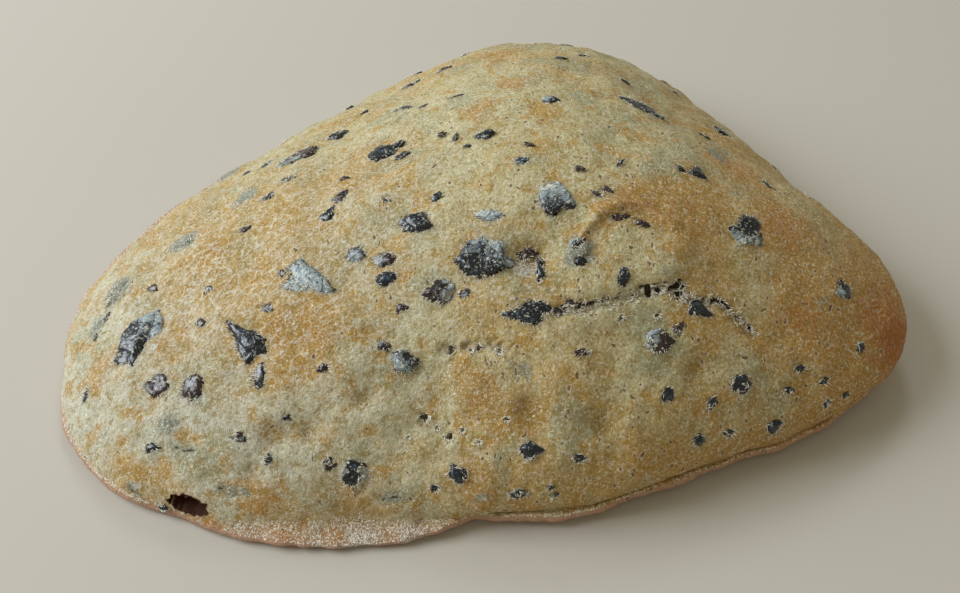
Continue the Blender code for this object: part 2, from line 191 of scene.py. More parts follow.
OLIVE_THICKNESS, OLIVE_SUNK = 0.5, 0.3
OLIVE_UNEVEN, FLECK_UNEVEN, BUMPS = 0.35, 0.4, 1.4
SHAPE_STEP = 7.3
ROUNDNESS, STEEPNESS, LEAST_ACROSS = 0.2, 0.6, 0.2

# The small olive pieces that the loaf's solid carries: x, y, length, width, turn and corners
FLECKS = (
    (-75, -69, 8, 6, 80, 0),
    (-25, -48, 7, 5, 10, 4),
    (2, -35, 10, 4, -10, 4),
    (1, -6, 6, 5, 0, 4),
    (98, -42, 6, 5, 30, 5),
    (12, -88, 7, 5, 10, 4),
    (45, -64, 8, 5, -15, 4),
    (67, -70, 6, 5, 0, 5),
    (77, -75, 5, 4, 70, 3),
    (-20, -68, 7, 6, 0, 5),
    (-25, 26, 7, 4, 20, 4),
    (-46, 25, 7, 5, 10, 4),
    (77, 28, 8, 4, -40, 4),
    (25, -46, 7, 5, 40, 0),
    (-105, -30, 11, 6, 70, 0),
    (-87, -17, 10, 6, 30, 0),
    (56, -56, 6, 5, -20, 3),
    (36, -52, 5, 3, 75, 5),
    (56, -81, 5, 4, 0, 4),
    (9, -94, 6, 3, 10, 4),
    (-24, 52, 7, 4, 20, 4),
    (-12, 52, 7, 4, 20, 4),
    (-5, 77, 6, 4, 60, 4),
    (-57, -69, 6, 3, 80, 5),
    (-33, -40, 6, 5, -30, 3),
    (-75, -52, 4, 3, -60, 0),
    (-39, -19, 5, 4, 50, 3),
    (-57, -1, 5, 4, 10, 5),
    (-42, -25, 5, 4, 60, 3),
    (-25, -43, 7, 4, 10, 5),
    (-6, -91, 5, 4, -40, 5),
    (47, -75, 5, 4, 45, 4),
    (20, 10, 6, 4, -20, 4),
    (-67, 16, 6, 4, 30, 4),
    (-82, 25, 9, 6, 30, 0),
    (59, -18, 5, 4, -30, 3),
)
# The rows of that list whose skin is purple-brown, and those that the dough covers
BROWN_FLECKS, COVERED_FLECKS = (0, 6, 24, 25, 26, 29), (13, 14, 15, 34)
# The share of grey film on the ones where it stands out
FLECK_FILMS = {2: 0.70, 0: 0.02, 4: 0.45, 6: 0.45, 9: 0.40, 11: 0.10, 10: 0.05, 32: 0.50}
SCATTERED, SCATTER_APART, SCATTER_SIZES, SCATTER_SEED = 12, 15, (4.5, 7.0), 8
SCATTER_TURN, SCATTER_OUT = (0.0, 0.85), (0.86, 0.97)
FLECK_THICKNESS, FLECK_SUNK = 0.5, 0.25
FLECK_SLIMNESS = (0.6, 0.85)
FLECK_CORNERS = (3, 4, 5)

# The photograph and the camera that took it
PICTURE_WIDTH, PICTURE_HEIGHT = 960, 593
LENS, SENSOR = 38, 36
LOOK_DOWN = 47
CAMERA_DISTANCE = 287
CAMERA_TARGET = (0, -36.5, 25)
NEAREST_STEPS = 6

# The mesh of the crust, how far round each detail it is finer, and its finest relief: spacing, height
# and seed, with the heights over which that relief sets in above the base
GRID_CELLS = 200
FINE_MARGIN, FINEST_MARGIN, FINE_AROUND_OLIVE = 2.6, 1.2, 0.9
FINE_RELIEF = ((13.0, 1.1, 9.5), (6.0, 0.55, 2.5), (2.2, 0.26, 7.5))
RELIEF_HEIGHTS = (0, 2.5)
# Some marks paint shade: openings, pits, cracks, the hollows, the burst bubble and part of the browning
MARKS = ("bake", "film", "flour", "open", "painted_shade", "web", "rim", "porous", "hollow", "front_left_pale", "dimple_shade")

# Broad changes of the crust: where each starts and where it is full, across, back to front or up
# The browning low down and to the right is partly the crust's own and partly painted shade on the sides away
# from the window
LOW_BAKE_AND_SHADE, LOW_BAKE_AND_SHADE_ACROSS, LEAST_LOW_BAKE_AND_SHADE = 0.50, (-60, 60), 0.12
LOW_BAKE_AND_SHADE_HEIGHTS, LOW_BAKE_AND_SHADE_POWER = (30, 0), 1.5
RIGHT_BAKE_AND_SHADE, RIGHT_BAKE_AND_SHADE_ACROSS = 0.30, (20, 110)
PORES_ACROSS, LEAST_PORES = (-60, 30), 0.15
FRONT_LEFT_PALE_ACROSS, FRONT_LEFT_PALE_BACK_TO_FRONT = (0, -60), (20, -40)
RIM_HEIGHTS = (5, 2)

# Olive-brown painted shade in a small dip, full at a depth, and the browned folds: those that stand up that
# far
FULL_DIMPLE_SHADE, DIMPLE_SHADE_GAIN, DIMPLE_SHADE_EDGE = 1.7, 1.7, 0.45
RIDGE_ABOVE, RIDGE_BAKE = 0.8, 0.35

# The lip's profile from the dome's foot outwards: share of the way out, and share of its thickness
LIP_PROFILE = (
    (0.0, 1.0),
    (0.25, 1.06),
    (0.5, 1.03),
    (0.75, 0.95),
    (0.93, 0.80),
    (1.0, 0.55),
    (0.99, 0.28),
    (0.9, 0.0),
)
EDGE_SPACING, EDGE_WANDER, EDGE_SHARPNESS = 4, 0.9, 8
FILLET_REACH, FILLET_PASSES = 5.0, ((0.1, 5), (0.5, 12))
FILLET_FROM, FILLET_FACTOR = 0.9, 0.5
UPRIGHT_FULLNESS, SLACK_FULLNESS, LIP_STEP_SHARE = 1.7, 1.5, 0.6

# How often the mesh of a piece is halved
SOLID_DETAIL, OLIVE_DETAIL, CHIP_DETAIL, CRUMB_DETAIL = 2, 5, 3, 1

# The chips that only the crust carries: their shape, how proud they lie, and the grey film on them
CHIP_THICKNESS, CHIP_PROUD, CHIP_UNEVEN = 0.35, 0.28, 0.5
CHIP_SHAPES, CHIP_FILM, CHIP_SEED = (50, 90), (-0.25, 0.4), 12

# The skin of every piece: its folds, how the grey film thins from one side to the other, and seeds
FOLD_SPACING, FOLD_RISE, FOLD_DEPTH = 1.8, 0.12, 0.45
FILM_SLOPE, FILM_UNEVEN, FILM_SPACING = 0.5, 0.2, 2.4
LARGE_SKIN_SEED, CHIP_SKIN_SEED = 30, 60

# Threads of torn crumb and grains of flour: sizes in millimetres, and heights as shares of a thickness
CRUMB_SHAPES = (0, 50)
THREAD_SEED, THREAD_STRAY, THREAD_LEAST, THREAD_UNEVEN = 9, 25, 0.1, 0.8
THREAD_LENGTH, THREAD_THICKNESS, THREAD_OVER = (0.9, 2.3), (0.12, 0.24), (-0.1, 0.35)
SEAM_THREADS, SEAM_LENGTH, SEAM_THICKNESS = 5.5, (0.8, 1.9), (0.16, 0.30)
SEAM_SPREAD, SEAM_STRAY, SEAM_CLUMPS, SEAM_BARE = 1.0, 45, 3.0, -0.05
THREAD_LIFT, SEAM_LIFT = 0.3, (-0.3, 0.8)
FLOUR_SEED, FLOUR_LEAST, FLOUR_REACH, GRAIN_SIZE = 5, 0.12, 5.5, (0.2, 0.6)
GRAIN_LEAST_HEIGHT, GRAIN_SHAPE, GRAIN_UNEVEN, GRAIN_SUNK = 0.5, (1, 0.8, 0.6), 0.4, 0.1

# Marks on the crust, by the pixel of the photograph where each shows: x, y, radius and, but for the
# pits, strength
STAINS = (
    (278, 328, 7, 0.65),
    (317, 335, 5, 0.75),
    (184, 329, 6, 0.4),
    (98, 376, 8, 0.4),
    (204, 256, 7, 0.4),
    (500, 54, 8, 0.5),
    (514, 82, 6, 0.5),
    (477, 109, 7, 0.5),
    (637, 200, 9, 0.5),
    (688, 207, 9, 0.6),
    (736, 167, 8, 0.7),
    (784, 223, 9, 0.9),
    (804, 319, 9, 0.7),
    (897, 318, 16, 0.62),
    (895, 350, 10, 0.45),
    (866, 312, 16, 0.32),
    (483, 391, 6, 0.6),
    (526, 418, 5, 0.8),
    (476, 481, 7, 0.5),
    (274, 502, 6, 0.40),
    (350, 500, 12, 0.35),
    (252, 497, 5, 0.35),
)
UNDER_SKIN = (
    (120, 292, 5, 1.1),
    (98, 325, 4, 1.0),
    (187, 242, 5, 0.9),
    (168, 423, 4, 0.8),
    (135, 489, 4, 0.6),
    (522, 372, 5, 0.5),
    (594, 90, 4, 0.4),
    (717, 154, 5, 0.8),
    (699, 188, 3, 0.4),
    (578, 253, 5, 0.8),
    (669, 271, 4, 0.5),
    (823, 300, 4, 0.5),
    (484, 496, 4, 0.5),
    (231, 415, 3, 0.4),
    (229, 167, 5, 0.9),
)
PITS = (
    (451, 350, 1.3),
    (471, 349, 0.9),
    (479, 347, 0.9),
    (500, 350, 1.3),
    (425, 418, 1.3),
    (437, 428, 0.8),
    (450, 437, 1.3),
    (464, 430, 0.8),
    (508, 419, 0.8),
    (479, 441, 0.9),
    (410, 437, 0.8),
    (622, 317, 0.9),
    (658, 314, 0.9),
    (540, 262, 1.2),
    (541, 271, 1.2),
    (539, 279, 0.9),
)
PALE = (
    (155, 347, 2.2, 0.52),
    (712, 287, 2.5, 0.45),
    (524, 268, 5, 0.5),
    (381, 158, 6, 0.3),
    (360, 539, 9, 0.46),
    (410, 536, 6, 0.42),
    (320, 541, 6, 0.38),
)
# Fine cracks, by pixel, darkened with painted shade
CRACKS = (
    ((176, 447), (184, 451), (193, 450)),
    ((219, 488), (231, 492), (246, 490)),
    ((384, 499), (394, 496), (405, 497)),
    ((110, 305), (116, 293), (123, 286)),
    ((94, 337), (97, 327), (102, 320)),
    ((178, 248), (187, 244), (195, 240)),
    ((128, 483), (134, 490), (143, 495)),
)
CRACK_WIDTH, CRACK_DEPTH, CRACK_WHOLE, CRACK_BROKEN = 0.28, 0.4, 0.6, 0.9
CRACK_FILM, CRACK_FILM_WIDTH = 0.5, 2.6
WEB_MIDDLE, WEB_REACH, WEB_LEAST = (245, 250), 50, 0.12
# The net is drawn out along the edge of the loaf, as the dough was stretched: turn in degrees and stretch
NET_TURN, NET_STRETCH = 50, (1.7, 0.95, 1)
PIT_DEPTH, PIT_SHADE, PIT_EDGE, PIT_RAGGED = 1.1, 0.6, 0.5, 0.25
UNDER_SKIN_RISE = 0.5

# How the dough meets the olives: how proud an olive must be to show, how ragged that line is, how far
# the crust sinks under it and the painted shade there, the film of dough over its edge, and the raised
# edge of dough around it.
SHOWS_ABOVE, RAGGED, RAGGED_SPACING, RAGGED_SEED, RAGGED_SWING = 0.05, 0.42, 1.4, 21.5, 2
SINK_UNDER, SINK_SHADE, FILM_OVER, SEARCH = 1.1, 0.8, 0.12, 6
COVER_FILM, MOST_FILM, COVER_FLOUR = 0.5, 0.9, 0.3
DOUGH_EDGE, DOUGH_EDGE_EVEN, DOUGH_EDGE_WIDTH, DOUGH_EDGE_SEARCH = 0.18, 0.6, 1.1, 2.5
FULL_EDGE_HALF, EDGE_FILM, EDGE_FLOUR = 4, 0.35, 0.42
ALWAYS_COVERED = 9

# Torn places: the seams that sink below a depth, and how deep and how spaced the openings in the wide
# ones are and how much painted shade darkens them, with the flour and rough crumb beside them
TORN_BELOW, WIDE_TORN_BELOW = -0.5, -1
HOLE_DEPTH, HOLE_SPACING, HOLE_LEVEL, HOLE_SEED = 1.5, (1.3, 3.0, 3.0), -0.02, 31.5
TEAR_REACH, TEAR_SHADE, TEAR_ROUGH, TEAR_HALO = 0.38, 0.85, 0.5, 1.5
WIDE_TEAR_FLOUR, NARROW_TEAR_FLOUR = 0.48, 0.32

# The finishes: the cells of the net and of the pores, in millimetres, how the pores are stretched, the
# share of them that is open, and how plain finishes are grained
NET_CELL, PORE_CELL, PORE_STRETCH, OPEN_PORES = 3.4, 1.4, (1, 0.6, 0.6), 0.56
DARKER_GRAIN, PLAIN_BUMP = 0.8, 0.1

# The stage, in metres: the floor's half width, the lamps' sizes and spots, and the colours of the light
FLOOR_HALF, NEAREST_SEEN = 3, 0.01
WINDOW, GLINT = (1.0, (-1.3, 0.15, 0.9)), (0.35, (0.1, 1.2, 1.15))
LAMP_COLOUR, ROOM_COLOUR = (0.87, 0.94, 1.0), (1.0, 0.93, 0.70, 1)

# Small chips of olive, by pixel: x, y, length and width in millimetres, turn in degrees
BLACK_CHIPS = (
    (107, 317, 3.0, 2.0, 60),
    (113, 297, 6.0, 2.8, 62),
    (188, 243, 5.0, 2.4, 25),
    (96, 336, 3.0, 1.6, 80),
    (87, 393, 6.5, 4.5, 50),
    (151, 448, 3.5, 2.5, 0),
    (400, 143, 3.0, 2.5, 0),
    (402, 155, 4.5, 3.0, 10),
    (540, 270, 6.5, 1.4, 100),
    (409, 108, 4.0, 2.5, -20),
    (625, 81, 3.5, 1.6, 0),
    (422, 107, 4.0, 2.5, 30),
    (456, 137, 4.5, 1.8, 85),
    (437, 196, 3.0, 2.5, 40),
    (522, 161, 4.0, 3.0, 0),
    (467, 146, 2.5, 1.2, 0),
    (269, 196, 4.5, 3.5, 60),
    (247, 173, 3.0, 2.0, 20),
    (560, 58, 4.0, 1.6, 0),
    (584, 56, 4.0, 1.6, 0),
    (365, 112, 3.5, 2.0, 30),
    (705, 136, 3.0, 1.6, -35),
    (680, 168, 4.0, 1.8, -40),
    (621, 162, 3.5, 1.2, 50),
    (766, 184, 4.0, 2.5, -40),
    (577, 243, 4.0, 2.5, 30),
    (580, 261, 3.5, 2.5, 0),
    (861, 347, 3.5, 2.5, 60),
    (827, 403, 3.5, 2.5, 0),
    (801, 368, 3.0, 2.0, 0),
    (825, 380, 3.0, 2.0, 40),
    (790, 390, 3.0, 1.8, 0),
    (713, 403, 3.5, 2.0, 70),
    (729, 432, 4.0, 2.5, 20),
    (580, 458, 4.0, 2.5, 0),
    (551, 486, 2.5, 2.5, 0),
    (555, 494, 2.5, 2.0, 0),
    (435, 487, 2.5, 2.0, 0),
    (268, 460, 2.5, 1.8, 80),
    (163, 508, 2.5, 2.0, 0),
    (286, 417, 2.5, 2.0, 40),
)
BROWN_CHIPS = (
    (284, 273, 3.0, 2.5, 0),
    (323, 368, 3.5, 2.5, 30),
    (384, 346, 3.0, 2.5, 0),
    (582, 352, 4.5, 2.0, -5),
    (679, 328, 3.5, 2.2, 60),
    (402, 308, 3.0, 2.5, 0),
    (268, 308, 3.0, 2.5, 30),
    (245, 229, 4.0, 2.2, 30),
    (209, 289, 4.0, 2.0, -30),
    (153, 288, 3.5, 2.5, 0),
    (344, 178, 3.0, 2.0, 0),
    (386, 201, 2.5, 2.0, 0),
    (455, 97, 5.0, 1.6, 0),
    (442, 133, 3.0, 2.0, 0),
    (530, 144, 3.5, 1.4, -30),
    (580, 168, 2.5, 1.4, -20),
    (598, 194, 3.5, 1.6, -60),
    (608, 190, 3.0, 1.6, -30),
    (465, 293, 3.0, 2.0, 0),
    (571, 303, 2.5, 2.0, 0),
    (329, 464, 3.5, 3.0, 0),
    (239, 437, 3.0, 2.5, 0),
    (846, 394, 2.5, 1.8, 0),
    (658, 345, 5.5, 4.0, -10),
    (527, 254, 6.0, 3.0, 5),
    (620, 217, 4.0, 2.0, 10),
    (643, 223, 4.5, 2.0, -20),
)


def srgb(text):
    """The linear colour of an sRGB hex value."""
    shares = [int(text[i:i + 2], 16) / 255 for i in (0, 2, 4)]
    return [s / 12.92 if s <= 0.04045 else ((s + 0.055) / 1.055) ** 2.4 for s in shares]


def colour(name, description, value):
    return FloatVectorProperty(
        name=name, description=description, subtype="COLOR", size=3, min=0, max=1, default=srgb(value)
    )


class CrustSettings(PropertyGroup):
    """Colours and relief of the baked crust"""

    straw: colour("Straw", "Main colour of the baked crust", "C8BB8B")
    pale: colour("Pale grain", "Palest grain of the crust", "EBE5D0")
    ochre: colour("Ochre", "Small darker patches", "A98A44")
    shade: colour("Dark grain", "Darkest grain of the crust", "8A7845")
    gold: colour("Gold", "Golden patches of the crust", "C1933C")
    amber: colour("Amber", "Orange patches where the crust is thin over a bubble", "BD8C3C")
    brown: colour("Brown", "Where the oven caught the crust", "B2631C")
    grey_green: colour("Grey green", "Where olive juice tints the dough", "A5A481")
    web: colour("Web", "Pale floury lines in the crust", "F3EEDC")
    # Painted shade: near black, for the inside of the torn places, the pits and cracks, and round the sunk
    # olive edges
    painted_hole_shade: colour("Pits", "Inside of the torn places", "2B1E0E")
    pore: colour("Pores", "Tiny open pores", "6A4C12")
    film: colour("Film", "Dough drawn thin over an olive", "858C80")
    flour: colour("Flour", "Flour left on the crust", "F2EFE6")
    lip: colour("Lip", "The flattened rim of the bottom crust", "B06A34")
    edge: colour("Edge", "Outermost edge of the bottom crust", "C79E86")
    # Paler colour towards the front left
    front_left_pale: colour("Veil", "Where the crust is dusted and pale", "CFCBB4")
    # Painted shade: olive brown in the small hollows, stronger the deeper they are
    dimple_shade: colour("Dimples", "Olive brown of the small hollows", "A07F34")
    # The burst bubble's inside: its own orange brown, deepened with painted shade
    hollow: colour("Hollow", "Inside of the burst bubble", "43200A")
    fine_relief: FloatProperty(
        name="Fine relief", description="How strong the crust's fine unevenness is", default=1, min=0, max=2
    )
    bump: FloatProperty(
        name="Pore depth", description="Depth of the finest pores", unit="LENGTH", default=0.6 * MM
    )


class OliveSettings(PropertyGroup):
    """Colours, painted sheen and wrinkles of the olive pieces"""

    black: colour("Black", "Skin of a ripe black olive", "131C26")
    black_deep: colour("Deep black", "The darkest skin", "07080A")
    purple: colour("Purple", "Skin of a purple-brown olive", "3B2426")
    purple_deep: colour("Deep purple", "The darkest purple-brown", "170D0E")
    # Painted sheen: a blue reflection where the black skin catches the light
    black_painted_sheen: colour("Blue black", "Where the black skin catches the light", "385B77")
    # Painted sheen: a red-brown reflection on the brown skin
    purple_painted_sheen: colour("Red brown", "Where the brown skin is thin", "6A3A30")
    film: colour("Film", "Grey film of dough on an olive", "8F9FA6")
    lint: colour("Lint", "Specks of crumb on the skin", "D9D8CC")
    wrinkle: FloatProperty(
        name="Wrinkle", description="Depth of the skin's wrinkles", unit="LENGTH", default=0.22 * MM
    )


class CrumbSettings(PropertyGroup):
    """Torn crumb and flour"""

    crumb: colour("Crumb", "Torn crumb in the seams", "F2ECDC")
    flour: colour("Flour grains", "Grains of flour on the rim", "F0E8DC")
    grains: IntProperty(name="Grains", description="How many grains of flour", default=4500, min=0)
    threads: FloatProperty(
        name="Threads", description="Share of the edges that threads cross", default=0.85, min=0, max=1
    )


class StageSettings(PropertyGroup):
    """Floor, light and camera"""

    floor: colour("Floor", "Plain pale floor", "CAC4BA")
    power: FloatProperty(
        name="Window", description="Power of the soft light", unit="POWER", default=25, min=0
    )
    glint: FloatProperty(
        name="Glint", description="Power of the small light behind, which the wet skins show", unit="POWER",
        default=4, min=0
    )
    fill: FloatProperty(name="Fill", description="Strength of the light all round", default=0.32, min=0)


def polar(points):
    """The angles and distances of points round the plan's centre."""
    across = np.asarray(points, float)[:, :2] - CENTRE
    return np.arctan2(across[:, 1], across[:, 0]), np.hypot(*across.T)


def around(column):
    """A smooth closed curve through one column of the plan, as a function of the angle at the centre."""
    rows = np.array(PLAN, float)
    angles, distances = polar(rows)
    values = distances if column == "reach" else rows[:, column]
    order = np.argsort(angles)
    turn = 2 * math.pi
    angles = np.concatenate([angles[order] + k * turn for k in (-1, 0, 1)])
    values = np.tile(values[order], 3)
    slopes = np.gradient(values, angles)

    def curve(angle):
        i = np.clip(np.searchsorted(angles, angle) - 1, 0, len(angles) - 2)
        span = angles[i + 1] - angles[i]
        t = (angle - angles[i]) / span
        start = (1 + 2 * t) * (1 - t) ** 2 * values[i] + t * (1 - t) ** 2 * span * slopes[i]
        end = t * t * (3 - 2 * t) * values[i + 1] + t * t * (t - 1) * span * slopes[i + 1]
        return start + end

    return curve


reach = around("reach")
lip, belly, lift, fullness = (around(column) for column in (2, 3, 4, 5))


def field(points, spacing, seed):
    """Smooth noise from -1 to 1 at each point, about one swing in each spacing."""
    shift = Vector((0, 0, seed))
    return np.array([noise.noise(Vector(p) / spacing + shift) for p in points])


def wander(angle, spacing=RIM_SPACING):
    """Smooth unevenness along the rim, from -1 to 1, that joins up after a full turn."""
    scale = (CAD_BOX[1].x - CAD_BOX[0].x) / MM / 2 / spacing
    ring = np.stack((np.cos(angle) * scale, np.sin(angle) * scale, np.zeros_like(angle)), axis=1)
    return field(ring, 1, RIM_SEED)


def bell(gap, radius):
    """How much of a swell is left at a distance from its middle: 1 there, 0.37 at its radius."""
    return np.exp(-((gap / radius) ** 2))


def ramp(values, start, end):
    """0 up to the start, 1 from the end on, and even between them; the start may be the higher."""
    return np.clip((values - start) / (end - start), 0, 1)


def dough_height(x, y):
    """Height of the dough under a place, before its side rolls down."""
    height = np.full_like(x, BASE_HEIGHT)
    for sx, sy, radius, rise in SWELLS:
        height += rise * bell(np.hypot(x - sx, y - sy), radius)
    return height


def rim(angle):
    """Radii of the dome and of the lip, and heights of the widest place and the lip's top."""
    lip_top = lift(angle) + LIP_THICKNESS
    dome_radius = reach(angle)
    lip_radius = dome_radius + lip(angle) + RIM_WANDER * wander(angle)
    return dome_radius, lip_radius, lip_top + belly(angle), lip_top


def dome(angle, out):
    """Points of the smooth dome at angles round the centre, out from 0, the crown, to 1, the rim."""
    radius, _, rim_height, _ = rim(angle)
    x = CENTRE[0] + np.cos(angle) * out * radius
    y = CENTRE[1] + np.sin(angle) * out * radius
    fall = (1 - np.minimum(out, 1) ** CURVE_POWER) ** (1 / fullness(angle))
    z = rim_height + (dough_height(x, y) - rim_height) * fall
    return np.stack((x, y, z), axis=1)


def on_dome(places):
    """The points of the dome above plan places."""
    angle, gap = polar(places)
    return dome(angle, gap / rim(angle)[0])


def along(places):
    """Many points of the dome on a smooth line through plan places."""
    places = np.array(places, float)
    steps = np.concatenate(([0], np.cumsum(np.hypot(*np.diff(places, axis=0).T))))
    even = np.linspace(0, steps[-1], SAMPLES_ALONG)
    line = np.stack([np.interp(even, steps, places[:, k]) for k in (0, 1)], axis=1)
    for _ in range(SOFTENING_PASSES):
        line[1:-1] = (line[:-2] + line[1:-1] * 2 + line[2:]) / 4
    return on_dome(line)


def distance(points, targets):
    """How far each point is from the nearest target."""
    return np.min([np.linalg.norm(points - target, axis=1) for target in targets], axis=0)


def disc(u, v):
    """Angle and radius on a disc for places on a square from -1 to 1, with even cells."""
    wide = np.abs(u) > np.abs(v)
    main = np.where(wide, u, v)
    other = np.where(wide, v, u)
    share = np.divide(other, main, out=np.zeros_like(main), where=main != 0) * math.pi / 4
    turn = np.where(wide, share, math.pi / 2 - share)
    return np.arctan2(main * np.sin(turn), main * np.cos(turn)), np.abs(main)


def spread(angle, radius):
    """How far out on the dome a disc radius lies: closer steps near an upright side."""
    bend = (SLACK_BEND + (UPRIGHT_BEND - SLACK_BEND) * (fullness(angle) - 1)) * math.pi / 2
    return np.sin(bend * radius) / np.sin(bend)


def relief(points, out):
    """How far the crust stands out of the smooth dome, or sinks into it."""
    rise = field(points, LUMP_SPACING, LUMP_SEED) * LUMP_RISE
    for x, y, radius, height in FORMS:
        rise += height * bell(distance(points, on_dome([(x, y)])), radius)
    for places, half_width, height in LINES:
        rise += height * bell(distance(points, along(places)), half_width)
    return rise * ramp(out, 1, RELIEF_FADE)


def form_to_frame():
    """A function that takes the form's own millimetres to the frame's, by the loaf's box."""
    angle = np.linspace(-math.pi, math.pi, SAMPLES_ROUND)
    dome_radius, lip_radius, _, _ = rim(angle)
    radius = np.maximum(dome_radius, lip_radius)
    x = CENTRE[0] + np.cos(angle) * radius
    y = CENTRE[1] + np.sin(angle) * radius
    even = np.linspace(-CROWN_SHARE, CROWN_SHARE, CROWN_SAMPLES)
    u, v = np.meshgrid(even, even)
    crown_angle, crown_radius = disc(u.ravel(), v.ravel())
    crown_out = spread(crown_angle, crown_radius)
    crown = dome(crown_angle, crown_out)
    top = (crown[:, 2] + relief(crown, crown_out)).max()
    low = np.array((x.min(), y.min(), 0))
    high = np.array((x.max(), y.max(), top))
    box_low, box_high = (np.array(corner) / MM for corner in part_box("loaf"))
    scale = (box_high - box_low) / (high - low)
    return lambda points: (np.asarray(points, float) - low) * scale + box_low


to_frame = form_to_frame()


def camera_matrix():
    """The camera's place, in millimetres, turned to its target from the photograph's side."""
    pitch = math.radians(LOOK_DOWN)
    back = Vector((0, -math.cos(pitch), math.sin(pitch)))
    turned = (-back).to_track_quat("-Z", "Y").to_matrix().to_4x4()
    return Matrix.Translation(Vector(CAMERA_TARGET) + back * CAMERA_DISTANCE) @ turned


def crust_at(crust, px, py):
    """The point of the crust that shows at a pixel of the photograph, or is nearest it, and its normal."""
    place = camera_matrix()
    half = SENSOR / LENS / PICTURE_WIDTH
    across = Vector(((px - PICTURE_WIDTH / 2) * half, (PICTURE_HEIGHT / 2 - py) * half, -1))
    sight = (place.to_3x3() @ across).normalized()
    point, normal, _, _ = crust.ray_cast(place.translation, sight)
    if point is None:
        point = Vector(CAMERA_TARGET)
        for _ in range(NEAREST_STEPS):
            on_sight = place.translation + sight * (point - place.translation).dot(sight)
            point, normal, _, _ = crust.find_nearest(on_sight)
    return point, normal


def coordinates(verts):
    return np.array([v.co[:] for v in verts])


def normals_of(verts):
    return np.array([v.normal[:] for v in verts])


def place(verts, points):
    for vert, point in zip(verts, points):
        vert.co = point


def surface_of(bm):
    """The surface of a bmesh, which is freed, to seat pieces on or measure from."""
    tree = BVHTree.FromBMesh(bm)
    bm.free()
    return tree


Chop = namedtuple("Chop", "name brown size uneven seed corners lies cover film side")


def form_of(chop, detail):
    """A chopped piece of olive as it lies, in the frame's millimetres."""
    bm = lump(detail, chop.size, chop.uneven, chop.seed, chop.corners)
    bm.transform(chop.lies)
    bm.normal_update()
    return bm


def onto_its_solid(chop):
    """The same piece with its middle where its own solid's middle is."""
    bm = form_of(chop, SOLID_DETAIL)
    points = coordinates(bm.verts)
    bm.free()
    low, high = (np.array(corner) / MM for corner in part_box(chop.name))
    shift = (low + high - points.min(axis=0) - points.max(axis=0)) / 2
    return chop._replace(lies=Matrix.Translation(shift) @ chop.lies)


def seat(x, y):
    """The crust's point and normal at a place in plan."""
    return bare_crust().find_nearest(Vector(to_frame(on_dome([(x, y)]))[0]))[:2]


def scattered_flecks():
    """Places, sizes and shapes of the small pieces on the flank that faces away, clear of the others."""
    draw = random.Random(SCATTER_SEED)
    taken = [row[:2] for row in (*OLIVES.values(), *FLECKS)]
    flecks = []
    while len(flecks) < SCATTERED:
        angle = draw.uniform(*SCATTER_TURN) * math.pi
        out = draw.uniform(*SCATTER_OUT)
        x, y, _ = dome(np.array([angle]), np.array([out]))[0]
        length = draw.uniform(*SCATTER_SIZES)
        width = length * draw.uniform(*FLECK_SLIMNESS)
        turn = draw.uniform(0, 180)
        corners = draw.choice(FLECK_CORNERS)
        if min(math.dist((x, y), other) for other in taken) > SCATTER_APART:
            taken.append((x, y))
            flecks.append((x, y, length, width, turn, corners))
    return flecks


@functools.cache
def chopped_olives():
    """Every piece of olive in the crust: the large ones, the loaf's own small ones, and the chips."""
    found = []
    for i, (name, row) in enumerate(OLIVES.items()):
        x, y, length, width, turn, corners, cover, film, side = row
        size = (length, width, OLIVE_THICKNESS * width)
        lies = lie_on(*seat(x, y), turn, OLIVE_SUNK * size[2])
        brown = name in BROWN_OLIVES
        chop = Chop(name, brown, size, OLIVE_UNEVEN, i + 0.5, corners, lies, cover, film, side)
        found.append(onto_its_solid(chop))
    draw = random.Random(CHIP_SEED)
    for i, (x, y, length, width, turn, corners) in enumerate((*FLECKS, *scattered_flecks())):
        size = (length, width, FLECK_THICKNESS * width)
        lies = lie_on(*seat(x, y), turn, FLECK_SUNK * size[2])
        cover = ALWAYS_COVERED if i in COVERED_FLECKS else 0
        film, side = FLECK_FILMS.get(i, draw.uniform(*CHIP_FILM)), draw.uniform(0, 360)
        found.append(Chop("", i in BROWN_FLECKS, size, FLECK_UNEVEN, i, corners, lies, cover, film, side))
    for brown, rows in ((False, BLACK_CHIPS), (True, BROWN_CHIPS)):
        for px, py, length, width, turn in rows:
            size = (length, width, CHIP_THICKNESS * width)
            lies = lie_on(*crust_at(bare_crust(), px, py), turn, size[2] / 2 - CHIP_PROUD)
            seed, corners = draw.uniform(*CHIP_SHAPES), draw.choice(FLECK_CORNERS)
            film, side = draw.uniform(*CHIP_FILM), draw.uniform(0, 360)
            found.append(Chop("", brown, size, CHIP_UNEVEN, seed, corners, lies, 0, film, side))
    return found


def middle_and_half(points):
    """The middle of a piece's box, and how far its points reach from there."""
    middle = (points.min(axis=0) + points.max(axis=0)) / 2
    return middle, np.linalg.norm(points - middle, axis=1).max()


def near_detail(points, chops, pits):
    """How fine the crust's relief is at each point: 0 for the plain grid, 1 fine, 2 finest."""
    level = np.zeros(len(points), int)
    for x, y, radius, height in FORMS:
        if height < 0:
            level[distance(points, on_dome([(x, y)])) < radius] = 1
    framed = to_frame(points)
    for middle, half in chops:
        level[distance(framed, [middle]) < half + FINE_AROUND_OLIVE] = 1
    for places, half_width, height in LINES:
        gap = distance(points, along(places))
        near = gap < half_width + FINE_MARGIN
        level[near] = np.maximum(level[near], 1)
        if height < TORN_BELOW:
            level[gap < half_width + FINEST_MARGIN] = 2
    for middle, radius in pits:
        level[distance(framed, [middle]) < radius + FINEST_MARGIN] = 2
    level[distance(points, [BUBBLE_MIDDLE]) < BUBBLE_SIZE[0] / 2 + FINE_MARGIN] = 2
    return level


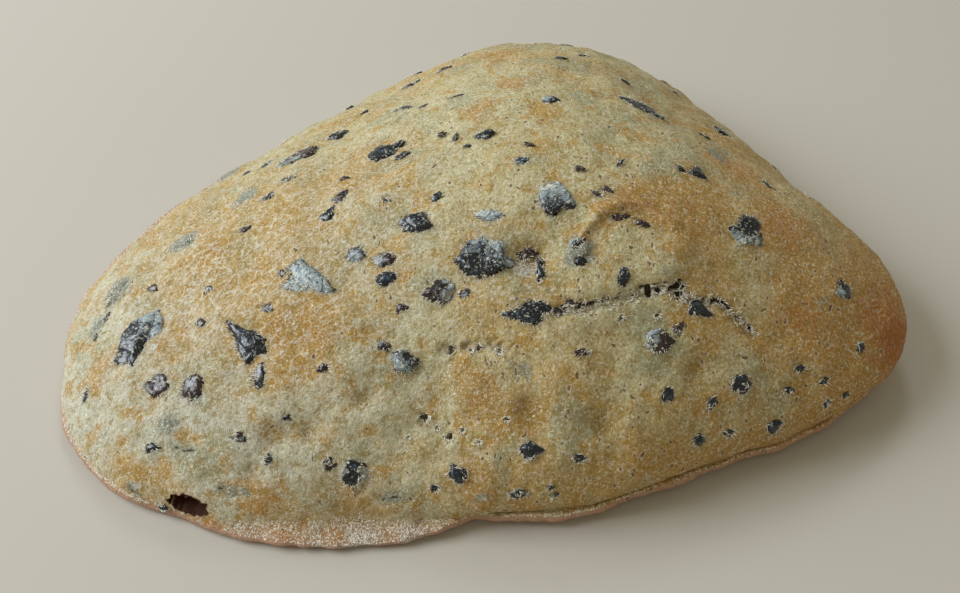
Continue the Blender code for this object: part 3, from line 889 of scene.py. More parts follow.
def dome_of_crust(bm, chops=(), pits=()):
    """The domed top, from a grid that is rounded to a disc, with finer cells where detail is fine."""
    bmesh.ops.create_grid(bm, x_segments=GRID_CELLS, y_segments=GRID_CELLS, size=1)
    for finer in (1, 2) if chops else ():
        flat = coordinates(bm.verts)
        angle, radius = disc(flat[:, 0], flat[:, 1])
        level = near_detail(dome(angle, spread(angle, radius)), chops, pits)
        bm.verts.index_update()
        edges = [e for e in bm.edges if all(level[v.index] >= finer for v in e.verts)]
        bmesh.ops.subdivide_edges(bm, edges=edges, cuts=1, use_grid_fill=True)
    flat = coordinates(bm.verts)
    angle, radius = disc(flat[:, 0], flat[:, 1])
    out = spread(angle, radius)
    points = dome(angle, out)
    place(bm.verts, points)
    bm.normal_update()
    place(bm.verts, points + normals_of(bm.verts) * relief(points, out)[:, None])


def grow_ring(bm, rim_edges):
    """Grow a ring of faces from an open edge; its points, its edges, and the points' angles."""
    grown = bmesh.ops.extrude_edge_only(bm, edges=rim_edges)["geom"]
    verts = [g for g in grown if isinstance(g, bmesh.types.BMVert)]
    edges = [g for g in grown if isinstance(g, bmesh.types.BMEdge) and g.is_boundary]
    return verts, edges, polar(coordinates(verts))[0]


def slackness(angle):
    """How slack the loaf's side is: 1 or more where it is slack, 0 or less where it is upright."""
    return (UPRIGHT_FULLNESS - fullness(angle)) / (UPRIGHT_FULLNESS - SLACK_FULLNESS)


def bottom_crust(bm):
    """The crust's lip all round and the flat base, grown from the dome's open edge."""
    edge_mark = bm.verts.layers.float.new("edge")
    rim_edges = [e for e in bm.edges if e.is_boundary]
    for share, thick in LIP_PROFILE:
        verts, rim_edges, angle = grow_ring(bm, rim_edges)
        dome_radius, lip_radius, rim_height, lip_top = rim(angle)
        slack = np.clip(slackness(angle), 0, 1)
        curled = np.minimum(dome_radius, lip_radius - LIP_ROOT) - LIP_ROUNDING
        root = curled + (np.minimum(dome_radius, lip_radius) - curled) * slack
        edge = lip_radius - EDGE_WANDER * (1 + wander(angle, EDGE_SPACING)) / 2
        radius = root + (edge - root) * share
        step = (rim_height - lip_top) * slack * max(0, 1 - share / LIP_STEP_SHARE)
        height = lip_top - LIP_THICKNESS * (1 - thick) + step
        place(verts, ring_at(angle, radius, height))
        for vert in verts:
            vert[edge_mark] = share**EDGE_SHARPNESS
    verts, rim_edges, angle = grow_ring(bm, rim_edges)
    foot = rim(angle)[1] - FOOT_INSET - FOOT_PER_LIFT * lift(angle)
    place(verts, ring_at(angle, foot, np.zeros_like(angle)))
    bmesh.ops.edgeloop_fill(bm, edges=rim_edges)
    bmesh.ops.recalc_face_normals(bm, faces=bm.faces)
    run_into_lip(bm)


def run_into_lip(bm):
    """Let the dough run smoothly into the lip where its side is slack."""
    points = coordinates(bm.verts)
    angle, gap = polar(points)
    dome_radius, _, _, lip_top = rim(angle)
    near = np.abs(gap - dome_radius) < FILLET_REACH
    near &= (points[:, 2] > lip_top * FILLET_FROM) & (points[:, 2] < lip_top + FILLET_REACH)
    slack = slackness(angle)
    all_verts = list(bm.verts)
    for least, passes in FILLET_PASSES:
        verts = [all_verts[i] for i in np.flatnonzero(near & (slack > least))]
        for _ in range(passes):
            bmesh.ops.smooth_vert(
                bm, verts=verts, factor=FILLET_FACTOR, use_axis_x=True, use_axis_y=True, use_axis_z=True
            )


def ring_at(angle, radius, height):
    return np.stack((CENTRE[0] + np.cos(angle) * radius, CENTRE[1] + np.sin(angle) * radius, height), axis=1)


def fit_inside(bm):
    """Bring a mesh exactly to the loaf's box."""
    low, high = (np.array(corner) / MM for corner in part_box("loaf"))
    points = coordinates(bm.verts)
    own_low, own_high = points.min(axis=0), points.max(axis=0)
    place(bm.verts, (points - own_low) / (own_high - own_low) * (high - low) + low)


@functools.cache
def bare_crust():
    """The crust's form without its finest relief, as a surface to seat pieces on."""
    bm = bmesh.new()
    dome_of_crust(bm)
    bottom_crust(bm)
    fit_inside(bm)
    return surface_of(bm)


def dig_bubble(points, normals, rough):
    """Push the crust in to the far wall of the burst bubble, and mark its points, rim included, for their
    own brown deepened by painted shade.
    """
    middle = to_frame([BUBBLE_MIDDLE])[0] + (0, 0, BUBBLE_GAPES / 2)
    turned = np.array(Matrix.Rotation(math.radians(BUBBLE_TURN), 3, "Z"))
    size = (np.array(BUBBLE_SIZE) + (0, 0, BUBBLE_GAPES)) / 2
    inward = np.array(BUBBLE_INWARD)
    step = (turned.T @ inward) / size
    painted_shade = np.zeros(len(points))
    near = distance(points, [middle]) < size.max() * BUBBLE_SEARCH
    for i in np.flatnonzero(near & (normals[:, 1] < BUBBLE_FACING)):
        local = (turned.T @ (points[i] - middle)) / size
        a, b, c = step @ step, local @ step, local @ local - 1
        edge = BUBBLE_RAGGED * rough[i]
        painted_shade[i] = c < BUBBLE_RIM + edge
        if c < min(0, edge):
            points[i] += inward * (-b + math.sqrt(b * b - a * c)) / a
    return painted_shade


def crack_line(pixels):
    """Close points of the crust along a line that is given by pixels."""
    ends = np.array([crust_at(bare_crust(), px, py)[0] for px, py in pixels])
    steps = np.linspace(0, len(ends) - 1, SAMPLES_ALONG)
    return np.stack([np.interp(steps, range(len(ends)), ends[:, k]) for k in range(3)], axis=1)


def strengthen(marks, name, values):
    """Let a mark be at least as strong as these values."""
    marks[name] = np.maximum(marks[name], values)


def tear_open(points, marks, rise, rough):
    """The torn seams: a row of openings darkened with painted shade, with shreds of pale crumb between them.
    """
    holes = field(points / HOLE_SPACING, 1, HOLE_SEED)
    for places, half_width, height in LINES:
        if height < TORN_BELOW:
            wide = height < WIDE_TORN_BELOW
            gap = distance(points, to_frame(along(places)))
            tear = bell(gap, half_width)
            open_here = (tear > TEAR_REACH) & (holes > HOLE_LEVEL) & wide
            rise += np.where(open_here, -HOLE_DEPTH, tear * TEAR_ROUGH * rough)
            strengthen(marks, "open", open_here)
            strengthen(marks, "painted_shade", TEAR_SHADE * open_here)
            floury = WIDE_TEAR_FLOUR if wide else NARROW_TEAR_FLOUR
            strengthen(marks, "flour", floury * bell(gap, half_width * TEAR_HALO))


def draw_up_to(points, normals, chop, marks, rise, rough):
    """Bring the dough up round one piece of olive, and let it sink, darkened with painted shade, where the
    olive shows.
    """
    bm = form_of(chop, OLIVE_DETAIL - 1 if chop.name else CHIP_DETAIL)
    middle, half = middle_and_half(coordinates(bm.verts))
    tree = surface_of(bm)
    for i in np.flatnonzero(distance(points, [middle]) < half + DOUGH_EDGE_SEARCH):
        outward = Vector(normals[i])
        hit, _, _, _ = tree.ray_cast(Vector(points[i]) + outward * SEARCH, -outward, SEARCH * 2)
        if hit is None:
            gap = tree.find_nearest(Vector(points[i]))[3]
            fade = bell(gap, DOUGH_EDGE_WIDTH) * min(1, half / FULL_EDGE_HALF)
            rise[i] += DOUGH_EDGE * fade * (DOUGH_EDGE_EVEN + rough[i])
            marks["film"][i] = max(marks["film"][i], EDGE_FILM * fade)
            marks["flour"][i] = max(marks["flour"][i], EDGE_FLOUR * fade)
            continue
        proud = (hit - Vector(points[i])).dot(outward)
        if proud > SHOWS_ABOVE + chop.cover + RAGGED * max(0, rough[i]):
            rise[i] = -SINK_UNDER
            marks["open"][i] = 1
            marks["painted_shade"][i] = SINK_SHADE
        else:
            rise[i] = max(rise[i], proud + FILM_OVER)
            marks["film"][i] = max(marks["film"][i], np.clip(COVER_FILM + proud, 0, MOST_FILM))
            marks["flour"][i] = max(marks["flour"][i], COVER_FLOUR)


def mark_places(points, marks, rise, rough):
    """The stains, bumps, pale places, pits and cracks that were read off the photograph, the pits and cracks
    darkened with painted shade.
    """

    def bell_at(px, py, radius):
        return bell(distance(points, [crust_at(bare_crust(), px, py)[0]]), radius)

    for px, py, radius, strength in STAINS:
        marks["bake"] += strength * bell_at(px, py, radius)
    for px, py, radius, strength in UNDER_SKIN:
        bump = bell_at(px, py, radius)
        rise += UNDER_SKIN_RISE * strength * bump
        strengthen(marks, "film", strength * bump)
    for px, py, radius, strength in PALE:
        strengthen(marks, "flour", strength * bell_at(px, py, radius))
    for px, py, radius in PITS:
        hole = bell_at(px, py, radius) > PIT_EDGE - PIT_RAGGED * rough
        rise -= PIT_DEPTH * hole
        strengthen(marks, "painted_shade", PIT_SHADE * hole)
        strengthen(marks, "open", hole)
    for pixels in CRACKS:
        gap = distance(points, crack_line(pixels))
        line = bell(gap, CRACK_WIDTH) * np.clip(CRACK_WHOLE + CRACK_BROKEN * rough, 0, 1)
        rise -= CRACK_DEPTH * line
        # Painted shade in the crack
        strengthen(marks, "painted_shade", line)
        strengthen(marks, "film", CRACK_FILM * bell(gap, CRACK_FILM_WIDTH))
    marks["web"] = WEB_LEAST + (1 - WEB_LEAST) * bell_at(*WEB_MIDDLE, WEB_REACH)


def mark_forms(points, marks):
    """Olive-brown painted shade in the hollows, the browned folds, then the broad changes over the whole
    loaf.
    """
    for x, y, radius, height in FORMS:
        if height < 0:
            gap = distance(points, to_frame(on_dome([(x, y)])))
            hollow = np.clip(DIMPLE_SHADE_GAIN * bell(gap, radius) - DIMPLE_SHADE_EDGE, 0, 1)
            strengthen(marks, "dimple_shade", hollow * min(1, (height / FULL_DIMPLE_SHADE) ** 2))
    for places, half_width, height in LINES:
        if height > RIDGE_ABOVE:
            marks["bake"] += RIDGE_BAKE * bell(distance(points, to_frame(along(places))), half_width)
    x, y, z = points.T
    # Browning low down and to the right: partly real, partly painted shade
    low = ramp(z, *LOW_BAKE_AND_SHADE_HEIGHTS) ** LOW_BAKE_AND_SHADE_POWER
    marks["bake"] += LOW_BAKE_AND_SHADE * low * np.maximum(ramp(x, *LOW_BAKE_AND_SHADE_ACROSS), LEAST_LOW_BAKE_AND_SHADE)
    marks["bake"] += RIGHT_BAKE_AND_SHADE * ramp(x, *RIGHT_BAKE_AND_SHADE_ACROSS)
    marks["porous"] = np.maximum(ramp(x, *PORES_ACROSS), LEAST_PORES)
    marks["front_left_pale"] = ramp(x, *FRONT_LEFT_PALE_ACROSS) * ramp(y, *FRONT_LEFT_PALE_BACK_TO_FRONT)
    marks["rim"] = ramp(z, *RIM_HEIGHTS)


def dress_crust(bm, settings):
    """The finest relief of the crust, and the marks on it as one number a vertex for each."""
    bm.normal_update()
    points, normals = coordinates(bm.verts), normals_of(bm.verts)
    marks = {name: np.zeros(len(points)) for name in MARKS}
    rough = field(points, RAGGED_SPACING, RAGGED_SEED) * RAGGED_SWING
    rise = np.zeros(len(points))
    for spacing, height, seed in FINE_RELIEF:
        rise += height * settings.fine_relief * field(points, spacing, seed)
    mark_places(points, marks, rise, rough)
    mark_forms(points, marks)
    tear_open(points, marks, rise, rough)
    for chop in chopped_olives():
        draw_up_to(points, normals, chop, marks, rise, rough)
    rise *= ramp(points[:, 2], *RELIEF_HEIGHTS)
    points += normals * rise[:, None]
    marks["hollow"] = dig_bubble(points, normals, rough)
    place(bm.verts, points)
    return marks


def add_piece(name, bm, finish, replaced=()):
    """Make a finished piece from a bmesh in millimetres: smooth, in metres, riding on the loaf."""
    bm.transform(Matrix.Scale(MM, 4))
    mesh = bpy.data.meshes.new(name)
    bm.to_mesh(mesh)
    bm.free()
    mesh.shade_smooth()
    mesh.materials.append(finish)
    piece = bpy.data.objects.new(name, mesh)
    bpy.context.scene.collection.objects.link(piece)
    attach(piece, "root")
    if replaced:
        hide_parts(*replaced)
    return piece


def write_marks(mesh, marks):
    for name, values in marks.items():
        mark = mesh.attributes.new(name, "FLOAT", "POINT")
        mark.data.foreach_set("value", np.clip(values, 0, 2).astype(np.float32))


def finished_crust():
    """A copy of the finished crust, in millimetres."""
    bm = bmesh.new()
    bm.from_mesh(bpy.data.objects["crust"].data)
    bm.transform(Matrix.Scale(1 / MM, 4))
    bm.normal_update()
    return bm


# The inputs and output of a mix of colours by place, as several share a name, and the inputs that the rows
# of noises and of soft thresholds give
MIX_FACTOR, MIX_A, MIX_B, MIX_RESULT = 0, 6, 7, 2
NOISE_INPUTS = ("Scale", "Detail", "Roughness")
THRESHOLD_INPUTS = ("Value", "From Min", "From Max", "To Max")


def add_node(tree, kind, inputs=(), **settings):
    """Add a node with its settings, and give each input a value or a link."""
    made = tree.nodes.new(kind)
    for key, value in settings.items():
        setattr(made, key, value)
    for key, value in dict(inputs).items():
        if isinstance(value, bpy.types.NodeSocket):
            tree.links.new(value, made.inputs[key])
        else:
            made.inputs[key].default_value = value
    return made


def new_material(name, roughness):
    made = bpy.data.materials.new(name)
    made.use_nodes = True
    tree = made.node_tree
    shader = tree.nodes["Principled BSDF"]
    shader.inputs["Roughness"].default_value = roughness
    return made, tree, shader


def per_mm(size):
    """The scale of a texture whose cells are a size in millimetres."""
    return 1 / (size * MM)


def add_rows(tree, kind, output, keys, table, shared=(), **settings):
    """One node of a kind for each named row, whose values go to the inputs at the keys."""
    return {
        name: add_node(tree, kind, dict(shared) | dict(zip(keys, row)), **settings).outputs[output]
        for name, row in table.items()
    }


def add_chain(tree, kind, output, last, into, keys, rows, **settings):
    """Nodes of one kind, one for each row, that each take in what came out of the last one."""
    for row in rows:
        last = add_node(tree, kind, {into: last} | dict(zip(keys, row)), **settings).outputs[output]
    return last


def stirred(tree, place_on, swirls):
    """Coordinates pushed about by noise of each spacing, by each amount, both in millimetres."""
    for spacing, amount in swirls:
        swirl_inputs = {"Vector": place_on, "Scale": per_mm(spacing), "Detail": 2}
        swirl = add_node(tree, "ShaderNodeTexNoise", swirl_inputs).outputs["Color"]
        inputs = {0: swirl, 1: (amount * MM,) * 3, 2: place_on}
        place_on = add_node(tree, "ShaderNodeVectorMath", inputs, operation="MULTIPLY_ADD").outputs[0]
    return place_on


def finish_shader(tree, shader, base, layers, height, depth, strength):
    """Give a shader colours, each laid over the last where its mask says, and bumps from a height."""
    rows = [(mask, (*shade, 1)) for shade, mask in layers]
    shades = add_chain(tree, "ShaderNodeMix", MIX_RESULT, (*base, 1), MIX_A, (MIX_FACTOR, MIX_B), rows,
                       data_type="RGBA")
    bumps = add_node(tree, "ShaderNodeBump", {"Height": height, "Distance": depth, "Strength": strength})
    tree.links.new(shades, shader.inputs["Base Color"])
    tree.links.new(bumps.outputs["Normal"], shader.inputs["Normal"])


def crust_finish(settings):
    """Baked wheat crust, dry and floury: straw and gold, pale lint and threads, and open pores."""
    made, tree, shader = new_material("baked_wheat_crust", 0.75)
    shader.inputs["Specular IOR Level"].default_value = 0.3
    place_on = add_node(tree, "ShaderNodeTexCoord").outputs["Object"]
    marks = {
        name: add_node(tree, "ShaderNodeAttribute", attribute_name=name).outputs["Fac"]
        for name in (*MARKS, "edge")
    }
    warped = stirred(tree, place_on, ((6, 5), (1.3, 1.6)))
    stretched = add_node(tree, "ShaderNodeMapping", {"Vector": warped, "Scale": PORE_STRETCH}).outputs[0]
    fields = add_rows(tree, "ShaderNodeTexNoise", "Fac", NOISE_INPUTS, {
        "broad": (per_mm(34), 3, 0.5),
        "tint": (per_mm(15), 3, 0.55),
        "patch": (per_mm(7), 4, 0.6),
        "mottle": (per_mm(2.6), 4, 0.65),
        "grain": (per_mm(0.9), 4, 0.8),
        "dust": (per_mm(0.45), 2, 0.7),
        "broken": (per_mm(4.5), 3, 0.6),
        "clusters": (per_mm(13), 2, 0.5),
        "curls": (per_mm(1.5), 1, 0.5),
        "hairs": (per_mm(2.6), 2, 0.6),
    }, {"Vector": place_on})
    sides = add_rows(tree, "ShaderNodeMath", 0, (0, 1), {
        "curls": (fields["curls"], 0.5),
        "hairs": (fields["hairs"], 0.5),
    }, operation="SUBTRACT")
    strands = add_rows(tree, "ShaderNodeMath", 0, (0,), {
        "curls": (sides["curls"],),
        "hairs": (sides["hairs"],),
    }, operation="ABSOLUTE")
    drawn_out = {"Vector": warped, "Rotation": (0, 0, math.radians(NET_TURN)), "Scale": NET_STRETCH}
    slanting = add_node(tree, "ShaderNodeMapping", drawn_out, vector_type="TEXTURE").outputs[0]
    net = add_node(tree, "ShaderNodeTexVoronoi", {"Vector": slanting, "Scale": per_mm(NET_CELL)},
                   feature="DISTANCE_TO_EDGE").outputs["Distance"]
    pores = add_node(tree, "ShaderNodeTexVoronoi", {"Vector": stretched, "Scale": per_mm(PORE_CELL)})
    chosen = add_node(tree, "ShaderNodeSeparateColor", {0: pores.outputs["Color"]}).outputs[0]
    crowded = add_chain(tree, "ShaderNodeMath", 0, marks["porous"], 0, (1,),
                        ((fields["clusters"],), (OPEN_PORES,)), operation="MULTIPLY")
    spared = add_node(tree, "ShaderNodeMath", {0: crowded, 1: chosen}, operation="SUBTRACT").outputs[0]
    ragged = add_rows(tree, "ShaderNodeMath", 0, (0, 1, 2), {
        "film": (fields["broken"], 1.1, marks["film"]),
        "flour": (fields["dust"], 1.3, marks["flour"]),
        "bake": (fields["patch"], 0.9, marks["bake"]),
        "web": (fields["patch"], 1.2, marks["web"]),
    }, operation="MULTIPLY_ADD")
    ragged |= add_rows(tree, "ShaderNodeMath", 0, (0, 1, 2), {
        "brown": (fields["mottle"], 1.3, ragged["bake"]),
    }, operation="MULTIPLY_ADD")
    masks = add_rows(tree, "ShaderNodeMapRange", "Result", THRESHOLD_INPUTS, {
        "gold": (fields["broad"], 0.44, 0.62, 0.70),
        "tint": (fields["tint"], 0.50, 0.64, 0.75),
        "orange": (fields["patch"], 0.52, 0.64, 0.80),
        "ochre": (fields["mottle"], 0.49, 0.37, 0.65),
        "light": (fields["grain"], 0.51, 0.65, 0.82),
        "shade": (fields["grain"], 0.48, 0.34, 0.68),
        "specks": (fields["dust"], 0.57, 0.70, 0.65),
        "curls": (strands["curls"], 0.030, 0.006, 0.60),
        "hairs": (strands["hairs"], 0.022, 0.004, 0.70),
        "cells": (ragged["web"], 0.85, 1.55, 0.62),
        "dusty": (marks["porous"], 1.25, 0.0, 1.0),
        "unburnt": (ragged["bake"], 2.70, 0.9, 1.0),
        "net": (net, 0.085, 0.0, 0.70),
        "patchy": (fields["mottle"], 0.36, 0.56, 1.0),
        "broken": (fields["broken"], 0.46, 0.60, 1.0),
        "pore": (pores.outputs["Distance"], 0.32, 0.16, 0.85),
        "pore_rim": (pores.outputs["Distance"], 0.50, 0.34, 0.28),
        "spared": (spared, 0.0, 0.03, 1.0),
        "baked": (ragged["bake"], 0.50, 0.95, 0.9),
        "burnt": (ragged["brown"], 1.62, 2.60, 0.85),
        "film": (ragged["film"], 0.82, 1.22, 0.9),
        "flour": (ragged["flour"], 0.95, 1.15, 0.85),
    }, interpolation_type="SMOOTHSTEP")
    masks["web"] = marks["web"]
    for name, other in (
        ("broken", "dusty"),
        ("broken", "unburnt"),
        ("curls", "broken"),
        ("hairs", "broken"),
        ("specks", "unburnt"),
        ("light", "unburnt"),
        ("net", "web"),
        ("net", "patchy"),
        ("net", "unburnt"),
        ("spared", "unburnt"),
        ("pore", "spared"),
        ("pore_rim", "spared"),
    ):
        both = {0: masks[name], 1: masks[other]}
        masks[name] = add_node(tree, "ShaderNodeMath", both, operation="MULTIPLY").outputs[0]
    layers = (
        # Paler towards the front left
        (settings.front_left_pale, marks["front_left_pale"]),
        (settings.gold, masks["gold"]),
        (settings.grey_green, masks["tint"]),
        (settings.gold, masks["orange"]),
        (settings.gold, masks["cells"]),
        # Amber and brown follow the browning, which includes painted shade low down and to the right
        (settings.amber, masks["baked"]),
        (settings.ochre, masks["ochre"]),
        # Painted shade in the small hollows
        (settings.dimple_shade, marks["dimple_shade"]),
        # Brown, partly painted shade low down and to the right
        (settings.brown, masks["burnt"]),
        (settings.lip, marks["rim"]),
        (settings.film, masks["film"]),
        (settings.shade, masks["shade"]),
        (settings.pale, masks["light"]),
        (settings.web, masks["specks"]),
        (settings.web, masks["curls"]),
        (settings.web, masks["hairs"]),
        (settings.web, masks["net"]),
        (settings.edge, marks["edge"]),
        (settings.web, masks["pore_rim"]),
        (settings.flour, masks["flour"]),
        (settings.pore, masks["pore"]),
        # The burst bubble: its own brown deepened with painted shade
        (settings.hollow, marks["hollow"]),
        # Painted shade in the openings, pits and cracks, and where the crust sinks under an olive
        (settings.painted_hole_shade, marks["painted_shade"]),
    )
    height = add_chain(tree, "ShaderNodeMath", 0, fields["grain"], 2, (0, 1), (
        (fields["mottle"], 1.6),
        (masks["curls"], 0.3),
        (masks["hairs"], 0.3),
        (masks["net"], 0.3),
        (masks["flour"], 0.3),
        (masks["pore"], -0.4),
    ), operation="MULTIPLY_ADD")
    finish_shader(tree, shader, settings.straw, layers, height, settings.bump, 0.9)
    return made


def olive_finish(name, skin, deep, sheen, settings):
    """Skin of a baked olive: wrinkled, half glossy with a painted sheen, dulled where a cracked grey film of
    dough dried.
    """
    made, tree, shader = new_material(name, 0.3)
    shader.inputs["Coat Weight"].default_value = 0.32
    shader.inputs["Coat Roughness"].default_value = 0.12
    place_on = add_node(tree, "ShaderNodeTexCoord").outputs["Object"]
    film = add_node(tree, "ShaderNodeAttribute", attribute_name="film").outputs["Fac"]
    warped = stirred(tree, place_on, ((1.2, 1.2),))
    fields = add_rows(tree, "ShaderNodeTexNoise", "Fac", NOISE_INPUTS, {
        "skin": (per_mm(2.6), 3, 0.5),
        "wrinkle": (per_mm(1.7), 3, 0.6),
        "smear": (per_mm(1.8), 5, 0.8),
    }, {"Vector": place_on})
    fields |= add_rows(tree, "ShaderNodeTexNoise", "Fac", NOISE_INPUTS, {
        "speck": (per_mm(0.9), 3, 0.8),
    }, {"Vector": warped})
    cracks = add_node(tree, "ShaderNodeTexVoronoi", {"Vector": warped, "Scale": per_mm(NET_CELL)},
                      feature="DISTANCE_TO_EDGE").outputs["Distance"]
    sums = add_rows(tree, "ShaderNodeMath", 0, (0, 1, 2), {
        "uneven": (fields["smear"], 0.9, film),
        "speckled": (film, 0.14, fields["speck"]),
    }, operation="MULTIPLY_ADD")
    masks = add_rows(tree, "ShaderNodeMapRange", "Result", THRESHOLD_INPUTS, {
        "deep": (fields["skin"], 0.46, 0.60, 0.9),
        # Painted sheen on the crests of the wrinkles
        "sheen": (fields["wrinkle"], 0.56, 0.66, 0.60),
        "film": (sums["uneven"], 0.86, 1.02, 0.90),
        "speck": (sums["speckled"], 0.625, 0.665, 0.80),
        "crack": (cracks, 0.07, 0.015, 0.85),
        "dull": (sums["uneven"], 0.80, 1.0, 0.45),
    }, interpolation_type="SMOOTHSTEP")
    layers = (
        (deep, masks["deep"]),
        # Painted sheen
        (sheen, masks["sheen"]),
        (settings.film, masks["film"]),
        (deep, masks["crack"]),
        (settings.lint, masks["speck"]),
    )
    rough = add_node(tree, "ShaderNodeMath", {0: masks["dull"], 1: 0.25}, operation="ADD").outputs[0]
    tree.links.new(rough, shader.inputs["Roughness"])
    height = add_chain(tree, "ShaderNodeMath", 0, fields["wrinkle"], 2, (0, 1), (
        (masks["film"], 0.5),
        (masks["crack"], -0.5),
    ), operation="MULTIPLY_ADD")
    finish_shader(tree, shader, skin, layers, height, settings.wrinkle, 0.8)
    return made


def plain_finish(name, shade, roughness, size, strength=0.6):
    """A dry, matt finish with a faint grain of its own, of a size in millimetres."""
    made, tree, shader = new_material(name, roughness)
    place_on = add_node(tree, "ShaderNodeTexCoord").outputs["Object"]
    inputs = {"Vector": place_on, "Scale": per_mm(size), "Detail": 3, "Roughness": 0.6}
    grain = add_node(tree, "ShaderNodeTexNoise", inputs).outputs["Fac"]
    inputs = dict(zip(THRESHOLD_INPUTS, (grain, 0.4, 0.65, strength)))
    mask = add_node(tree, "ShaderNodeMapRange", inputs, interpolation_type="SMOOTHSTEP").outputs["Result"]
    darker = [share * DARKER_GRAIN for share in shade]
    finish_shader(tree, shader, shade, ((darker, mask),), grain, PLAIN_BUMP * MM, 0.5)
    return made


def olive_materials():
    """The two olive finishes, made once and shared by the large and the small pieces."""
    settings = bpy.context.scene.bread_olives
    for name, skin, deep, sheen in (
        ("black_olive_skin", settings.black, settings.black_deep, settings.black_painted_sheen),
        ("purple_olive_skin", settings.purple, settings.purple_deep, settings.purple_painted_sheen),
    ):
        if name not in bpy.data.materials:
            olive_finish(name, skin, deep, sheen, settings)
    return bpy.data.materials["black_olive_skin"], bpy.data.materials["purple_olive_skin"]


def corner_reach(angle, corners):
    """How far a chopped piece reaches at an angle, with a corner at 0; all round the same with none."""
    if not corners:
        return 1
    sector = 2 * math.pi / corners
    straight = math.cos(sector / 2) / math.cos(angle % sector - sector / 2)
    full_length = 2 / (1 + math.cos(sector / 2)) if corners % 2 else 1
    return full_length * (ROUNDNESS + (1 - ROUNDNESS) * straight)


def lump(detail, size, uneven, seed, corners=0):
    """An uneven lump of a size at the origin."""
    bm = bmesh.new()
    bmesh.ops.create_icosphere(bm, subdivisions=detail, radius=1)
    for vert in bm.verts:
        swell = 1 + uneven * noise.noise(vert.co * BUMPS + Vector((seed * SHAPE_STEP, 0, 0)))
        across = max(math.hypot(vert.co.x, vert.co.y), LEAST_ACROSS)
        wide = corner_reach(math.atan2(vert.co.y, vert.co.x), corners) * across ** (STEEPNESS - 1)
        stretch = (wide, wide, 1)
        vert.co = Vector(vert.co[k] * size[k] / 2 * swell * stretch[k] for k in range(3))
    return bm


def lie_on(point, normal, turn, depth):
    """Where a piece lies: sunk by a depth into the crust, flat to it and turned about its normal."""
    heading = Vector((math.cos(math.radians(turn)), math.sin(math.radians(turn)), 0))
    side = normal.cross(heading).normalized()
    forward = side.cross(normal)
    turned = Matrix((forward, side, normal)).transposed().to_4x4()
    return Matrix.Translation(point - normal * depth) @ turned


def join(bm, part):
    """Add one small shape to a joined piece."""
    mesh = bpy.data.meshes.new("part")
    part.to_mesh(mesh)
    part.free()
    bm.from_mesh(mesh)
    bpy.data.meshes.remove(mesh)


class BREAD_OT_crust(Operator):
    """Make the baked crust over the whole loaf"""

    bl_idname = "bread.crust"
    bl_label = "Crust"

    def execute(self, context):
        settings = context.scene.bread_crust
        chops = []
        for chop in chopped_olives():
            form = form_of(chop, SOLID_DETAIL)
            chops.append(middle_and_half(coordinates(form.verts)))
            form.free()
        pits = [(np.array(crust_at(bare_crust(), px, py)[0]), radius) for px, py, radius in PITS]
        pits += [(spot, CRACK_WIDTH) for pixels in CRACKS for spot in crack_line(pixels)[::2]]
        bm = bmesh.new()
        dome_of_crust(bm, chops, pits)
        bottom_crust(bm)
        fit_inside(bm)
        marks = dress_crust(bm, settings)
        fit_inside(bm)
        piece = add_piece("crust", bm, crust_finish(settings), ["loaf"])
        write_marks(piece.data, marks)
        return {"FINISHED"}


def olive_skin(chop, detail, seed):
    """A piece of olive with its skin wrinkled, and how much grey film each of its points has."""
    bm = form_of(chop, detail)
    points, normals = coordinates(bm.verts), normals_of(bm.verts)
    folds = np.abs(field(points, FOLD_SPACING, seed))
    middle, half = middle_and_half(points)
    place(bm.verts, points + normals * (FOLD_RISE - FOLD_DEPTH * folds)[:, None])
    way = np.array((math.cos(math.radians(chop.side)), math.sin(math.radians(chop.side)), 0))
    film = chop.film + FILM_SLOPE * ((points - middle) / half) @ way
    return bm, film + FILM_UNEVEN * field(points, FILM_SPACING, seed)


class BREAD_OT_olives(Operator):
    """Make the large olive pieces, wrinkled and partly filmed with dough"""

    bl_idname = "bread.olives"
    bl_label = "Olive pieces"

    def execute(self, context):
        finishes = olive_materials()
        for i, chop in enumerate(c for c in chopped_olives() if c.name):
            bm, film = olive_skin(chop, OLIVE_DETAIL, LARGE_SKIN_SEED + i)
            piece = add_piece(chop.name + "_skin", bm, finishes[chop.brown], [chop.name])
            write_marks(piece.data, {"film": film})
        return {"FINISHED"}


class BREAD_OT_chips(Operator):
    """Set the small chips of olive into the crust"""

    bl_idname = "bread.chips"
    bl_label = "Olive chips"

    def execute(self, context):
        finishes = olive_materials()
        for name, brown in (("black_chips", False), ("brown_chips", True)):
            bm = bmesh.new()
            films = []
            for i, chop in enumerate(chopped_olives()):
                if not chop.name and chop.brown == brown and chop.cover < ALWAYS_COVERED:
                    part, film = olive_skin(chop, CHIP_DETAIL, CHIP_SKIN_SEED + i)
                    films.append(film)
                    join(bm, part)
            piece = add_piece(name, bm, finishes[brown], ())
            write_marks(piece.data, {"film": np.concatenate(films)})
        return {"FINISHED"}


